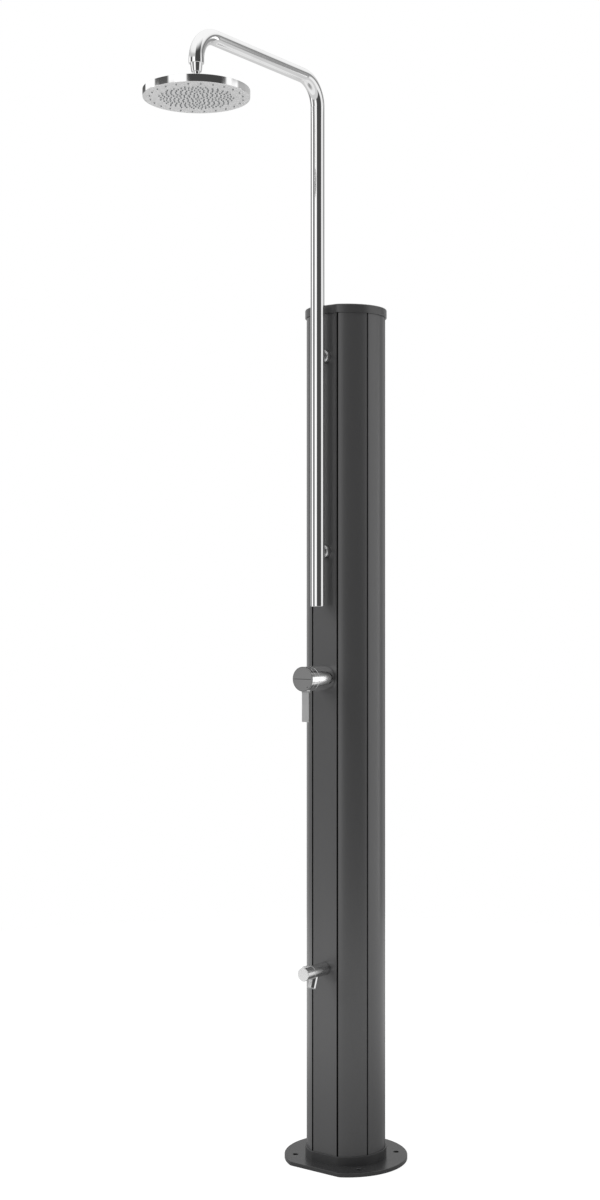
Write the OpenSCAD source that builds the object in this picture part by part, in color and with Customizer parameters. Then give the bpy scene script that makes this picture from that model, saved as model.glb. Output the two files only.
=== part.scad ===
// Outdoor shower post: a round column with a flat front on a round base plate, a bent riser
// with an overhead shower, a mixer, a foot tap, and a tank with its water lines inside.
// The origin is the middle of the base plate's underside. The flat front faces -Y.

/* [Column] */
// Diameter of the column
column_d = 160; // [150:1:170]
// Wall of the column
column_wall = 2.5; // [2:0.1:3]
// Height of the upper end of the column
column_top = 1719; // [1710:1:1900]
// Width of a long groove
groove_w = 3.2; // [2:0.1:4]
// Depth of a long groove
groove_depth = 3.6; // [2:0.1:4]
// Wall round a groove, inside the column
rib_wall = 2; // [1.5:0.1:2.5]
// Radius of a screw port of the extrusion
port_r = 4.3; // [4:0.1:4.6]

/* [Base] */
// Diameter of the base plate
plate_d = 250; // [240:1:300]
// Thickness of the base plate
plate_t = 8; // [6:0.5:12]
// Distance of the straight front edge from the column's axis
plate_front = 110; // [105:1:115]
// Spacing of the anchor holes from side to side
anchor_dx = 156; // [150:1:160]
// Spacing of the anchor holes from front to back
anchor_dy = 134; // [130:1:138]
// Radius of an anchor hole
anchor_r = 5.5; // [4:0.1:6]
// Height of the collar round the column's foot
collar_h = 18; // [10:1:30]
// How far the collar stands out from the column
collar_proud = 2.6; // [2:0.1:4]

/* [Cap] */
// Thickness of the cap's top
cap_t = 4; // [3.5:0.5:6]
// Height of the cap's rim
cap_h = 17; // [14:1:30]
// How far the cap stands out from the column
cap_proud = 3; // [2:0.1:4]
// Thickness of the seal under the cap
seal_t = 2; // [1:0.5:3]

/* [Riser and arm] */
// Diameter of the riser pipe
riser_d = 28; // [27.5:0.1:28.5]
// Wall of the riser pipe
riser_wall = 1.5; // [1.2:0.1:2]
// Clear space between the column's front and the riser
riser_gap = 11; // [10.5:0.1:12]
// Height of the riser's lower end
riser_bottom = 1122; // [1100:1:1160]
// Height of the arm's centreline
arm_z = 2167; // [2150:1:2250]
// Reach from the riser's centreline to the head's
arm_reach = 375; // [300:1:400]
// Centreline radius of both bends
arm_bend = 52; // [50:1:54]
// Height of the lower standoff
standoff_low_z = 1232; // [1200:1:1300]
// Height of the upper standoff
standoff_high_z = 1622; // [1500:1:1660]
// Radius of a standoff's foot
standoff_r = 13.4; // [11:0.1:14]

/* [Head] */
// Diameter of the shower head
head_d = 195; // [180:1:250]
// Height of the shower head's rim
head_t = 14; // [12:0.5:16]
// Nozzles in the outermost row
outer_nozzles = 24; // [12:1:36]
// Nozzles in the inner field
inner_nozzles = 200; // [80:4:216]

/* [Mixer] */
// Height of the mixer's axis
mixer_z = 979; // [940:1:1000]
// Diameter of the mixer
mixer_d = 49; // [47:0.5:52]
// Length of the mixer's fixed body in front of its gasket
mixer_body_l = 52.6; // [51:0.1:55]
// Thickness of the lever's hub
hub_t = 12; // [12:0.5:14]
// Thickness of the disc on the front of the lever
disc_t = 8.8; // [6:0.1:10]
// Length of the lever below the axis
lever_l = 85; // [60:1:100]
// Width of the lever's bar
lever_w = 17; // [12:1:20]
// Thickness of the lever's bar
lever_t = 6; // [5:0.5:11]

/* [Foot tap] */
// Height of the foot tap's axis
tap_z = 397; // [370:1:500]
// Diameter of the foot tap
tap_d = 26; // [25.5:0.1:28]
// Length of the tap's fixed body in front of its gasket
tap_body_l = 48; // [45.5:0.1:50]
// Length of the tap's knob
tap_knob_l = 24; // [22:0.5:30]
// Diameter of the spout
spout_d = 19; // [18:0.5:20]
// Length of the spout from the tap's axis
spout_l = 34; // [30:0.5:45]
// Forward tilt of the spout
spout_tilt = 22; // [0:1:25]

/* [Tank] */
// Clear space between the tank's round back and the column's wall
tank_clear = 9.5; // [9:0.5:16]
// Depth of the service space between the front panel and the tank
service_depth = 47.4; // [46:0.1:51]
// Wall of the tank
tank_wall = 2; // [1.5:0.1:4]
// Height of the tank's upper end
tank_top = 1643; // [1640:1:1650]
// Height of the shelf's underside
shelf_z = 232; // [228:1:250]

/* [Water lines] */
// Outer diameter of a hose
hose_d = 12; // [11:0.1:12]
// Bore of a hose
hose_bore = 8; // [6:0.1:9]
// Outer diameter of the inlet thread, half inch pipe size
inlet_d = 20.96; // [20:0.01:21]
// Height of the inlet
inlet_z = 90; // [85:1:95]

/* [Hidden] */
$fn = 96;
// Overrun of every cut
cut = 1;
// Radial clearance of a shaft in its bore
fit = 0.05;
// Radial clearance of a fixed piece in its hole
loose = 0.2;
// Small gap beside a piece that something else holds
gap = 0.3;
// Gap in front of a fixed body, behind what turns on it
turn_gap = 0.6;
// Thickness of the gaskets at the front panel
gasket_t = 1;
// Small and large edge rounding
edge_small = 0.8;
edge_large = 2.5;

column_r = column_d / 2;
groove_count = 8;
groove_step = 360 / groove_count;
// Distance of the flat front from the axis, to a tenth of a millimetre
flat = round(10 * column_r * cos(groove_step / 2)) / 10;
flat_in = flat - column_wall;
wide = column_d * 2;
port_at = column_r - column_wall - port_r + edge_small;
port_angles = [for (i = [0:3]) 45 + 90 * i];

// Countersunk screws of the column's ends
screw_r = 2.5;
screw_head_r = 4.7;
screw_head_h = 2.6;
screw_l = 25;
screw_socket_r = 1.8;
screw_socket_h = 1.8;

plate_r = plate_d / 2;
cap_top = column_top + seal_t + cap_t;
seal_w = 12;

riser_r = riser_d / 2;
riser_bore = riser_r - riser_wall;
riser_at = flat + riser_gap + riser_r;
head_at = riser_at + arm_reach;
drop_l = 60;
drop_z = arm_z - drop_l;
plug_h = 12;
plug_flange = 2;

// Standoff: foot, neck, spigot into the riser and threaded shank behind the front panel
foot_t = 8;
neck_r = 9.5;
spigot_r = 5;
spigot_l = 2;
standoff_way_r = 3.5;
standoff_shank_r = 7;
standoff_shank_l = 18;
stub_shank_l = 10;
standoff_nut_r = 11;
standoff_nut_t = 6;
standoff_grub_r = 1.25;
standoff_grub_l = 3;
standoff_grub_clear = 0.4;
standoff_foot_at = flat + gasket_t;
standoff_grub_at = standoff_foot_at + foot_t + standoff_grub_r + standoff_grub_clear;

// Common line of the water lines, in the space behind the front panel
line_depth = 25.4;
line_at = flat_in - line_depth;
hose_r = hose_d / 2;
hose_bore_r = hose_bore / 2;
hose_bend = 18;
hose_sides = 12;
bend_steps = 5;
first_side = [1, 0, 0];
nut_r = 8.5;
nut_l = 14;

// Ball joint under the arm's end
ball_drop = 34;
ball_z = drop_z - ball_drop;
ball_r = 10;
ball_neck_r = 6.5;
stud_sleeve_l = 15.4;
stud_sleeve_top_r = 11.25;
stud_sleeve_low_r = 9.5;
stud_spigot_l = 8;
stud_way_r = 3.5;
liner_t = 1.75;
liner_up = 4.8;
liner_down = 6;
nut_out_r = 14;
nut_up = 10;
nut_down = 14;
nut_lip_r = 9.6;
nut_lip_t = 1;
nut_mouth_r = 10.6;

nut_cavity_r = ball_r + 2 * fit + liner_t;

head_r = head_d / 2;
ball_to_head = 14.3;
head_top = ball_z - ball_to_head;
head_low = head_top - head_t;
head_wall = 2;
head_skin = 1.8;
head_round = 0.6;
hub_top_drop = 9;
face_t = 2.5;
face_in = 0.3;
mat_t = 1.5;
mat_margin = 2.5;
nub_root_r = 1.5;
nub_tip_r = 1.1;
nub_proud = 1.1;
nub_bore_r = 0.45;
nub_clear = 0.1;
outer_row_share = 0.87;
inner_row_share = 0.70;
inner_turn = 137.51;
seal_ring_r = 1;

// Mixer, measured forward from the column's axis
mixer_r = mixer_d / 2;
mixer_at = flat + gasket_t;
mixer_end = mixer_at + mixer_body_l;
hub_at = mixer_end + turn_gap;
disc_at = hub_at + hub_t;
mixer_front = disc_at + disc_t;
mixer_shank_r = 16.5;
mixer_shank_l = 42;
mixer_rear = mixer_at - mixer_shank_l;
mixer_nut_r = 22;
mixer_nut_t = 8.7;
cartridge_r = 17.6;
cartridge_l = 32.8;
chamber_l = 41.6;
cartridge_at = mixer_end - chamber_l + gap;
cartridge_wall = 10;
cartridge_end = cartridge_at + cartridge_l;
cartridge_disc_r = 13.5;
cartridge_disc_t = 4;
// Rear face of the turning disc inside the cartridge
cartridge_disc_at = cartridge_end - cartridge_wall - cartridge_disc_t;
ring_nut_r = 20;
ring_nut_t = 6;
ring_nut_bore_r = 8;
stem_r = 5;
stem_seat = 5;
lever_web = 2;
lever_screw_r = 2.5;
lever_screw_head_r = 4.4;
lever_screw_head_h = 3.6;
lever_screw_l = 12;
// Seat of the lever screw's head
lever_screw_at = hub_at + stem_seat + lever_web + fit;
lever_fillet = 10;
disc_ring_r = 16;
disc_ring_w = 2;
disc_ring_l = 3;
mark_w = 40;
mark_h = 1;
mark_depth = 0.4;
dot_r = 1.3;
dot_x = 10.8;
dot_z = -15.7;
port_x = 10;
port_up = 3;
port_down = 9;
nipple_l = 25;
nipple_seat = 1.6;

// Foot tap, measured forward from the column's axis
tap_r = tap_d / 2;
tap_at = flat + gasket_t;
tap_end = tap_at + tap_body_l;
knob_at = tap_end + turn_gap;
knob_end = knob_at + tap_knob_l;
tap_shank_r = 10;
tap_shank_l = 22.9;
tap_rear = tap_at - tap_shank_l;
tap_nut_r = 15;
tap_nut_t = 6.7;
headwork_r = 9;
headwork_l = 29.5;
headwork_flange_r = 10.2;
headwork_flange_t = 2.4;
headwork_disc_r = 6.4;
headwork_disc_t = 4;
headwork_wall = 14;
tap_stem_r = 4;
tap_stem_l = 19;
fin_w = 5;
fin_h = 2.4;
fin_root = 2;
knob_grub_r = 1.5;
knob_grub_l = 7.5;
knob_grub_back = 8;
knob_grub_angle = 45;
spout_r = spout_d / 2;
spout_back = 15.9;
spout_at = tap_end - spout_back;
spout_way_r = 4.5;
spout_spigot_r = 6;
aerator_r = 8.1;
aerator_t = 6;
aerator_proud = 0.6;
aerator_hole_r = 1.4;
aerator_row_r = 4.6;
tee_r = 12;
tee_socket_r = 13;
tee_socket_l = 14;
tee_half = 15;
tee_nipple_l = 13;
tee_way_r = 4;
// Length of the outlet elbow below the lower standoff's axis
elbow_drop = 26;

// Inlet at the lower back, measured backward from the column's axis
inlet_r = inlet_d / 2;
inlet_way_r = 7;
inlet_flange_r = 16;
inlet_flange_t = 6;
inlet_thread_l = 18;
inlet_gasket_t = 2;
inlet_shank_l = 30;
inlet_nut_r = 14;
inlet_nut_t = 8;
inlet_tee_depth = 62;
inlet_tee_front = column_r - inlet_tee_depth;
inlet_tee_r = 13;
inlet_tee_socket_l = 6;
inlet_tee_nipple_l = 15;
inlet_tee_end = inlet_tee_front - inlet_tee_nipple_l;
inlet_seat = column_r + inlet_gasket_t;
inlet_rear = column_r - inlet_shank_l;
feed_depth = 48;
feed_y = column_r - feed_depth;
inlet_branch_r = 10;

// Tank and what carries it
tank_r = column_r - column_wall - tank_clear;
tank_front = flat_in - service_depth;
shelf_t = 8;
pad_t = 3;
end_t = 3;
post_r = 6;
// Places of the shelf's posts, as shares of the tank's radius
post_shares = [[-0.735, 0.515], [0.735, 0.515], [-0.66, -0.18], [0.66, -0.18]];
tank_low = shelf_z + shelf_t + pad_t;
tank_nipple_l = 20;
spacer_drop = 83;
spacer_h = 40;
spacer_angle = 14;
line_hole_r = 7.5;

// Corners of the two hoses that run up from the mixer
hot_x = 32;
hot_lead = 2;
hot_y = 2 * hose_bend + hot_lead - line_at;
hot_bow = 47;
hot_top = tank_top + hot_bow;
hot_rise = 71;
hot_side_rise = 70;
hot_low = mixer_z + hot_rise;
hot_side = hot_low + hot_side_rise;
outlet_rise = 91;
outlet_drop = 92;
outlet_low = mixer_z + outlet_rise;
outlet_high = standoff_low_z - outlet_drop;

// Turns a piece so that its own +Z points forward, out of the front panel
module facing(height) translate([0, 0, height]) rotate([90, 0, 0]) children();

// A forward-pointing cylinder between two distances from the column's axis
module front_rod(r, from, to) translate([0, 0, from]) cylinder(h = to - from, r = r);

// A forward-pointing ring between two distances from the column's axis
module front_ring(r_out, r_in, from, to) difference() {
    front_rod(r_out, from, to);
    front_rod(r_in, from - cut, to + cut);
}

// Half outline of a disc with rounded edges, for turning
module disc_outline(r, h, low, high) {
    square([r - max(low, high), h]);
    translate([0, low]) square([r, h - low - high]);
    if (low > 0) {
        square([r - low, h / 2]);
        translate([r - low, low]) circle(r = low);
    }
    if (high > 0) {
        translate([0, h / 2]) square([r - high, h / 2]);
        translate([r - high, h - high]) circle(r = high);
    }
}

// A disc with rounded edges
module soft_disc(r, h, low, high) rotate_extrude() intersection() {
    disc_outline(r, h, low, high);
    square([r, h]);
}

// Direction and corner of a hose's route
function unit(v) = v / norm(v);
function turn(a, b, c) = acos(unit(b - a) * unit(c - b));
function setback(a, b, c, bend) = bend * tan(turn(a, b, c) / 2);

// A round rod between two points
module rod(a, b, r) {
    d = b - a;
    translate(a) rotate([0, acos(d[2] / norm(d)), atan2(d[1], d[0])]) cylinder(h = norm(d), r = r);
}

// A round elbow at a route's corner
module elbow(a, b, c, bend, r) {
    into = unit(b - a);
    away = unit(c - b);
    side = unit(away - (away * into) * into);
    hub = b - into * setback(a, b, c, bend) + side * bend;
    axis = cross(-side, into);
    multmatrix([
        [-side[0], into[0], axis[0], hub[0]],
        [-side[1], into[1], axis[1], hub[1]],
        [-side[2], into[2], axis[2], hub[2]],
        [0, 0, 0, 1]
    ]) rotate_extrude(angle = turn(a, b, c)) translate([bend, 0]) circle(r = r);
}

// A solid rod along a route, with a round elbow at each corner
module route(points, bend, r) {
    last = len(points) - 1;
    for (i = [0:last - 1]) {
        way = unit(points[i + 1] - points[i]);
        from = i == 0 ? points[0]
            : points[i] + way * setback(points[i - 1], points[i], points[i + 1], bend);
        to = i == last - 1 ? points[last]
            : points[i + 1] - way * setback(points[i], points[i + 1], points[i + 2], bend);
        rod(from, to, r);
    }
    if (last > 1)
        for (i = [1:last - 1]) elbow(points[i - 1], points[i], points[i + 1], bend, r);
}

// The same route, run on a little past both of its ends
function overrun(points) = let (last = len(points) - 1) [
    for (i = [0:last])
        i == 0 ? points[0] - unit(points[1] - points[0]) * cut
        : i == last ? points[last] + unit(points[last] - points[last - 1]) * cut
        : points[i]
];

// A tube along a route
module tube(points, bend, r_out, r_in) difference() {
    route(points, bend, r_out);
    route(overrun(points), bend, r_in);
}

// Centres of a hose's rings: its two ends, and an arc at each corner
function arc_rings(a, b, c, bend) = let (
    into = unit(b - a),
    away = unit(c - b),
    side = unit(away - (away * into) * into),
    hub = b - into * setback(a, b, c, bend) + side * bend
) [for (i = [0:bend_steps]) let (t = turn(a, b, c) * i / bend_steps)
    hub + bend * (into * sin(t) - side * cos(t))];

function ring_centres(points) = let (last = len(points) - 1) concat(
    [points[0]],
    last < 2 ? [] : [for (i = [1:last - 1])
        each arc_rings(points[i - 1], points[i], points[i + 1], hose_bend)],
    [points[last]]
);

// Direction of a hose at one of its rings
function ring_way(c, i) = i == 0 ? unit(c[1] - c[0])
    : i == len(c) - 1 ? unit(c[i] - c[i - 1])
    : unit(unit(c[i + 1] - c[i]) + unit(c[i] - c[i - 1]));

// Sideways direction at each ring, carried along so that the hose doesn't twist
function carry(c, i, side) = let (w = ring_way(c, i), s = unit(side - (side * w) * w))
    i == len(c) - 1 ? [s] : concat([s], carry(c, i + 1, s));

function hose_ring(c, i, side, r) = let (up = cross(ring_way(c, i), side))
    [for (k = [0:hose_sides - 1]) let (a = k * 360 / hose_sides)
        c[i] + r * (cos(a) * side + sin(a) * up)];

// A rod of rings along a route, for the hoses
module ringed_rod(points, r) {
    c = ring_centres(points);
    sides = carry(c, 0, first_side);
    last = len(c) - 1;
    polyhedron(
        points = [for (i = [0:last]) each hose_ring(c, i, sides[i], r)],
        faces = concat(
            [[for (k = [0:hose_sides - 1]) k]],
            [for (i = [0:last - 1], k = [0:hose_sides - 1]) let (
                n = (k + 1) % hose_sides,
                low = i * hose_sides,
                high = low + hose_sides
            ) each [[low + k, high + k, high + n], [low + k, high + n, low + n]]],
            [[for (k = [hose_sides - 1:-1:0]) last * hose_sides + k]]
        )
    );
}

module hose(points) color("dimgray") difference() {
    ringed_rod(points, hose_r);
    ringed_rod(overrun(points), hose_bore_r);
}

// Column outline, round with a flat front, grown outward by a margin
module column_outline(grow) intersection() {
    circle(r = column_r + grow);
    translate([-wide / 2, -(flat + grow)]) square([wide, wide]);
}

module at_grooves() for (i = [0:groove_count - 1])
    rotate((i + 0.5) * groove_step) translate([0, -column_r]) children();

module at_ports(height) for (a = port_angles)
    rotate(a) translate([0, -port_at, height]) children();

// Countersunk screw that points up, its head's face at the origin
module countersunk_screw() difference() {
    union() {
        cylinder(h = screw_head_h, r1 = screw_head_r, r2 = screw_r);
        cylinder(h = screw_l, r = screw_r);
    }
    translate([0, 0, -cut]) cylinder(h = screw_socket_h + cut, r = screw_socket_r, $fn = 6);
}

// Hole for that screw, its head sunk a little
module countersink(depth) {
    translate([0, 0, -cut]) cylinder(h = depth + 2 * cut, r = screw_r + loose);
    translate([0, 0, gap]) cylinder(h = screw_head_h, r1 = screw_head_r + loose, r2 = screw_r + loose);
    translate([0, 0, -cut]) cylinder(h = cut + gap, r = screw_head_r + loose);
}

module base_plate() color("#333639") difference() {
    intersection() {
        soft_disc(plate_r, plate_t, 0, edge_small);
        translate([-wide, -plate_front, -cut]) cube([2 * wide, 2 * wide, plate_t + 2 * cut]);
    }
    for (x = [-0.5, 0.5], y = [-0.5, 0.5])
        translate([x * anchor_dx, y * anchor_dy, -cut]) cylinder(h = plate_t + 2 * cut, r = anchor_r);
    at_ports(0) countersink(plate_t);
}

module base_screws() color("silver") at_ports(gap) countersunk_screw();

module base_collar() color("#303336") translate([0, 0, plate_t]) difference() {
    intersection() {
        linear_extrude(height = collar_h) column_outline(collar_proud);
        soft_disc(column_r + collar_proud, collar_h, 0, edge_small);
    }
    translate([0, 0, -cut]) linear_extrude(height = collar_h + 2 * cut) column_outline(loose);
}

// Section of the extruded column
module column_section() difference() {
    column_outline(0);
    difference() {
        column_outline(-column_wall);
        at_grooves() translate([-groove_w / 2 - rib_wall, 0])
            square([groove_w + 2 * rib_wall, groove_depth + rib_wall]);
        for (a = port_angles) rotate(a) translate([0, -port_at]) circle(r = port_r);
    }
    at_grooves() translate([-groove_w / 2, -cut]) square([groove_w, groove_depth + cut]);
    for (a = port_angles) rotate(a) translate([0, -port_at]) circle(r = screw_r + fit);
}

module column_profile() color("#3c4044") difference() {
    translate([0, 0, plate_t]) linear_extrude(height = column_top - plate_t) column_section();
    facing(mixer_z) front_rod(mixer_shank_r + loose, flat_in - cut, flat + cut);
    facing(tap_z) front_rod(tap_shank_r + loose, flat_in - cut, flat + cut);
    for (z = [standoff_low_z, standoff_high_z])
        facing(z) front_rod(standoff_shank_r + loose, flat_in - cut, flat + cut);
    facing(inlet_z) front_rod(inlet_r + loose, -column_r - cut, -flat_in + 2 * column_wall);
}

module top_cap() color("#2d3033") difference() {
    translate([0, 0, cap_top - cap_h]) intersection() {
        linear_extrude(height = cap_h) column_outline(cap_proud);
        soft_disc(column_r + cap_proud, cap_h, 0, edge_large);
    }
    translate([0, 0, cap_top - cap_h - cut])
        linear_extrude(height = cap_h - cap_t + cut) column_outline(loose);
    at_ports(cap_top) mirror([0, 0, 1]) countersink(cap_t);
}

module cap_seal() color("#1c1c1c") translate([0, 0, column_top]) difference() {
    linear_extrude(height = seal_t) difference() {
        column_outline(0);
        column_outline(-seal_w);
    }
    at_ports(-cut) cylinder(h = seal_t + 2 * cut, r = screw_r + loose);
}

module cap_screws() color("silver") at_ports(cap_top - gap) mirror([0, 0, 1]) countersunk_screw();

// Tank outline, round with a flat front, grown outward by a margin
module tank_outline(grow) intersection() {
    circle(r = tank_r + grow);
    translate([-wide / 2, -tank_front - grow]) square([wide, wide]);
}

module tank_shelf() color("gainsboro") translate([0, 0, shelf_z]) difference() {
    linear_extrude(height = shelf_t) tank_outline(0);
    translate([0, feed_y, -cut]) cylinder(h = shelf_t + 2 * cut, r = line_hole_r);
}

module shelf_posts() color("silver") for (share = post_shares)
    translate([tank_r * share[0], tank_r * share[1], plate_t])
        cylinder(h = shelf_z - plate_t, r = post_r);

module tank_pad() color("#222222") translate([0, 0, shelf_z + shelf_t]) difference() {
    linear_extrude(height = pad_t) tank_outline(-pad_t);
    translate([0, feed_y, -cut]) cylinder(h = pad_t + 2 * cut, r = line_hole_r);
}

module tank_bottom_end() color("lightgray") difference() {
    union() {
        translate([0, 0, tank_low]) linear_extrude(height = end_t) tank_outline(0);
        translate([0, feed_y, tank_low - tank_nipple_l - pad_t])
            cylinder(h = tank_nipple_l + pad_t + end_t, r = hose_r);
    }
    translate([0, feed_y, tank_low - tank_nipple_l - pad_t - cut])
        cylinder(h = tank_nipple_l + pad_t + end_t + 2 * cut, r = hose_bore_r);
}

module tank_shell() color("lightgray") translate([0, 0, tank_low + end_t])
    linear_extrude(height = tank_top - tank_low - 2 * end_t) difference() {
        tank_outline(0);
        tank_outline(-tank_wall);
    }

module tank_top_end() color("lightgray") difference() {
    union() {
        translate([0, 0, tank_top - end_t]) linear_extrude(height = end_t) tank_outline(0);
        translate([hot_x, hot_y, tank_top - end_t]) cylinder(h = tank_nipple_l + end_t, r = hose_r);
    }
    translate([hot_x, hot_y, tank_top - end_t - cut])
        cylinder(h = tank_nipple_l + end_t + 2 * cut, r = hose_bore_r);
}

module tank_spacers() color("#222222") for (side = [0, 90, 180])
    rotate(side - spacer_angle / 2) translate([0, 0, tank_top - spacer_drop])
        rotate_extrude(angle = spacer_angle) translate([tank_r + gap, 0])
            square([column_r - column_wall - tank_r - 2 * gap, spacer_h]);

module inlet_nipple() color("#b58a3c") facing(inlet_z) difference() {
    union() {
        translate([0, 0, -inlet_seat - inlet_flange_t])
            cylinder(h = inlet_flange_t, r = inlet_flange_r, $fn = 6);
        front_rod(inlet_r, -inlet_seat - inlet_flange_t - inlet_thread_l, -inlet_rear);
    }
    front_rod(inlet_way_r, -inlet_seat - inlet_flange_t - inlet_thread_l - cut, -inlet_rear + cut);
}

module inlet_gasket() color("#1c1c1c") difference() {
    facing(inlet_z) front_ring(inlet_flange_r - gap, inlet_r + loose, -inlet_seat, -flat);
    cylinder(h = 2 * inlet_z, r = column_r, $fn = 4 * $fn);
}

module inlet_backnut() color("#b58a3c") facing(inlet_z) difference() {
    translate([0, 0, -inner_seat(inlet_nut_r)]) cylinder(h = inlet_nut_t, r = inlet_nut_r, $fn = 6);
    front_rod(inlet_r + fit, -column_r, 0);
}

// Where a flat face of a given radius meets the inside of the column's round wall
function inner_seat(r) = sqrt(pow(column_r - column_wall, 2) - r * r) - gap;

module inlet_tee() color("#b58a3c") difference() {
    union() {
        facing(inlet_z) {
            front_rod(inlet_tee_r, -inlet_rear - inlet_tee_socket_l, -inlet_tee_front);
            front_rod(hose_r, -inlet_tee_front - cut, -inlet_tee_end);
        }
        translate([0, feed_y, inlet_z]) {
            cylinder(h = tee_half, r = inlet_branch_r);
            cylinder(h = tee_half + tee_nipple_l, r = hose_r);
        }
    }
    facing(inlet_z) {
        front_rod(inlet_r + fit, -inlet_rear - inlet_tee_socket_l - cut, -inlet_rear);
        front_rod(tee_way_r, -inlet_rear - cut, -inlet_tee_end + cut);
    }
    translate([0, feed_y, inlet_z]) cylinder(h = tee_half + tee_nipple_l + cut, r = hose_bore_r);
}

// Ends of the fittings that the hoses join
inlet_front = [0, inlet_tee_end, inlet_z];
feed_low = [0, feed_y, inlet_z + tee_half + tee_nipple_l];
feed_high = [0, feed_y, tank_low - tank_nipple_l - pad_t];
tap_low = [0, -line_at, tap_z - tee_half - tee_nipple_l];
tap_high = [0, -line_at, tap_z + tee_half + tee_nipple_l];
mixer_reach = port_up + nipple_l + nipple_seat;
mixer_low = [0, -line_at, mixer_z - mixer_reach];
mixer_hot = [port_x, -line_at, mixer_z + mixer_reach];
mixer_out = [-port_x, -line_at, mixer_z + mixer_reach];
tank_hot = [hot_x, hot_y, tank_top + tank_nipple_l];
riser_in = [0, -line_at, standoff_low_z - elbow_drop];

module feed_hose() hose([feed_low, feed_high]);

module tap_hose() hose([inlet_front, [0, -line_at, inlet_z], tap_low]);

module cold_hose() hose([tap_high, mixer_low]);

module hot_hose() hose([
    mixer_hot, [port_x, -line_at, hot_low], [hot_x, -line_at, hot_side],
    [hot_x, -line_at, hot_top], [hot_x, hot_y, hot_top], tank_hot
]);

module outlet_hose() hose([
    mixer_out, [-port_x, -line_at, outlet_low], [0, -line_at, outlet_high], riser_in
]);

// One union nut, centred where a hose meets a fitting
module hose_nut(place, lie) translate(place) rotate([lie, 0, 0]) difference() {
    cylinder(h = nut_l, r = nut_r, center = true, $fn = 6);
    cylinder(h = nut_l + 2 * cut, r = hose_r + fit, center = true);
}

module hose_nuts() color("#b58a3c") {
    for (p = [feed_low, feed_high, tap_low, tap_high, mixer_low, mixer_hot, mixer_out, tank_hot, riser_in])
        hose_nut(p, 0);
    hose_nut(inlet_front, 90);
}

// Places of the mixer's three ports: hot and outlet on top, cold below
module at_upper_ports() for (x = [-port_x, port_x])
    translate([x, -line_at, mixer_z + port_up]) children();
module at_lower_port() translate([0, -line_at, mixer_z - port_up]) mirror([0, 0, 1]) children();

module mixer_body() color("#b9bbbd") difference() {
    facing(mixer_z) {
        translate([0, 0, mixer_at]) soft_disc(mixer_r, mixer_body_l, 0, edge_small);
        front_rod(mixer_shank_r, mixer_rear, mixer_at + cut);
    }
    facing(mixer_z) {
        front_rod(cartridge_r + 2 * fit, mixer_end - chamber_l, mixer_end + cut);
        front_rod(ring_nut_r + 3 * fit, mixer_end - ring_nut_t, mixer_end + cut);
        for (p = [[-port_x, port_up], [port_x, port_up], [0, -port_down]])
            translate([p[0], p[1], 0]) front_rod(hose_bore_r, line_at, mixer_end - chamber_l + cut);
    }
    at_upper_ports() port_hole();
    at_lower_port() port_hole();
}

// A port's hole, wide from the nipple's seat on
module port_hole() {
    translate([0, 0, nipple_seat]) cylinder(h = mixer_r, r = hose_r + fit);
    cylinder(h = mixer_r, r = hose_bore_r);
}

// A plain threaded nipple, seated in a port of the mixer
module port_nipple() translate([0, 0, nipple_seat]) difference() {
    cylinder(h = nipple_l, r = hose_r);
    translate([0, 0, -cut]) cylinder(h = nipple_l + 2 * cut, r = hose_bore_r);
}

module mixer_nipples() color("#b58a3c") {
    at_upper_ports() port_nipple();
    at_lower_port() port_nipple();
}

module mixer_gasket() color("#1c1c1c") facing(mixer_z)
    front_ring(mixer_r - 2 * edge_small, mixer_shank_r + loose, flat, mixer_at);

module mixer_backnut() color("#b58a3c") facing(mixer_z) difference() {
    translate([0, 0, flat_in - mixer_nut_t]) cylinder(h = mixer_nut_t, r = mixer_nut_r, $fn = 6);
    front_rod(mixer_shank_r + fit, mixer_rear, mixer_at);
}

module mixer_cartridge() color("white") facing(mixer_z) difference() {
    front_rod(cartridge_r, cartridge_at, cartridge_end);
    front_rod(stem_r + fit, cartridge_disc_at, mixer_end);
    front_rod(cartridge_disc_r + fit, cartridge_disc_at - gap, cartridge_disc_at + cartridge_disc_t + fit);
    for (p = [[-port_x, port_up], [port_x, port_up], [0, -port_down]])
        translate([p[0], p[1], 0])
            front_rod(hose_bore_r, cartridge_at - cut, cartridge_disc_at - cartridge_disc_t);
}

module cartridge_nut() color("#b58a3c") facing(mixer_z) difference() {
    union() {
        front_rod(cartridge_r, cartridge_end + fit, mixer_end - ring_nut_t + cut);
        front_rod(ring_nut_r, mixer_end - ring_nut_t + fit, mixer_end - turn_gap);
    }
    front_rod(ring_nut_bore_r, cartridge_end, mixer_end);
}

module mixer_stem() color("#b58a3c") facing(mixer_z) difference() {
    union() {
        front_rod(cartridge_disc_r, cartridge_disc_at, cartridge_disc_at + cartridge_disc_t);
        front_rod(stem_r, cartridge_disc_at, hub_at + stem_seat - gap / 2);
    }
    front_rod(lever_screw_r + fit, hub_at + stem_seat - lever_screw_l, hub_at + stem_seat + cut);
}

// Front view of the lever: hub, hanging bar and the fillets between them
module lever_outline() {
    half = lever_w / 2;
    far = half + lever_fillet;
    drop = sqrt(pow(mixer_r + lever_fillet, 2) - far * far);
    reach = mixer_r / (mixer_r + lever_fillet);
    circle(r = mixer_r);
    translate([-half, -lever_l + edge_small]) square([lever_w, lever_l - edge_small]);
    translate([-half + edge_small, -lever_l]) square([lever_w - 2 * edge_small, lever_l]);
    for (side = [-1, 1])
        translate([side * (half - edge_small), -lever_l + edge_small]) circle(r = edge_small);
    for (side = [-1, 1]) difference() {
        polygon([[0, 0], [side * far * reach, -drop * reach], [side * far, -drop],
            [side * half, -drop], [0, -drop]]);
        translate([side * far, -drop]) circle(r = lever_fillet);
    }
}

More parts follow.
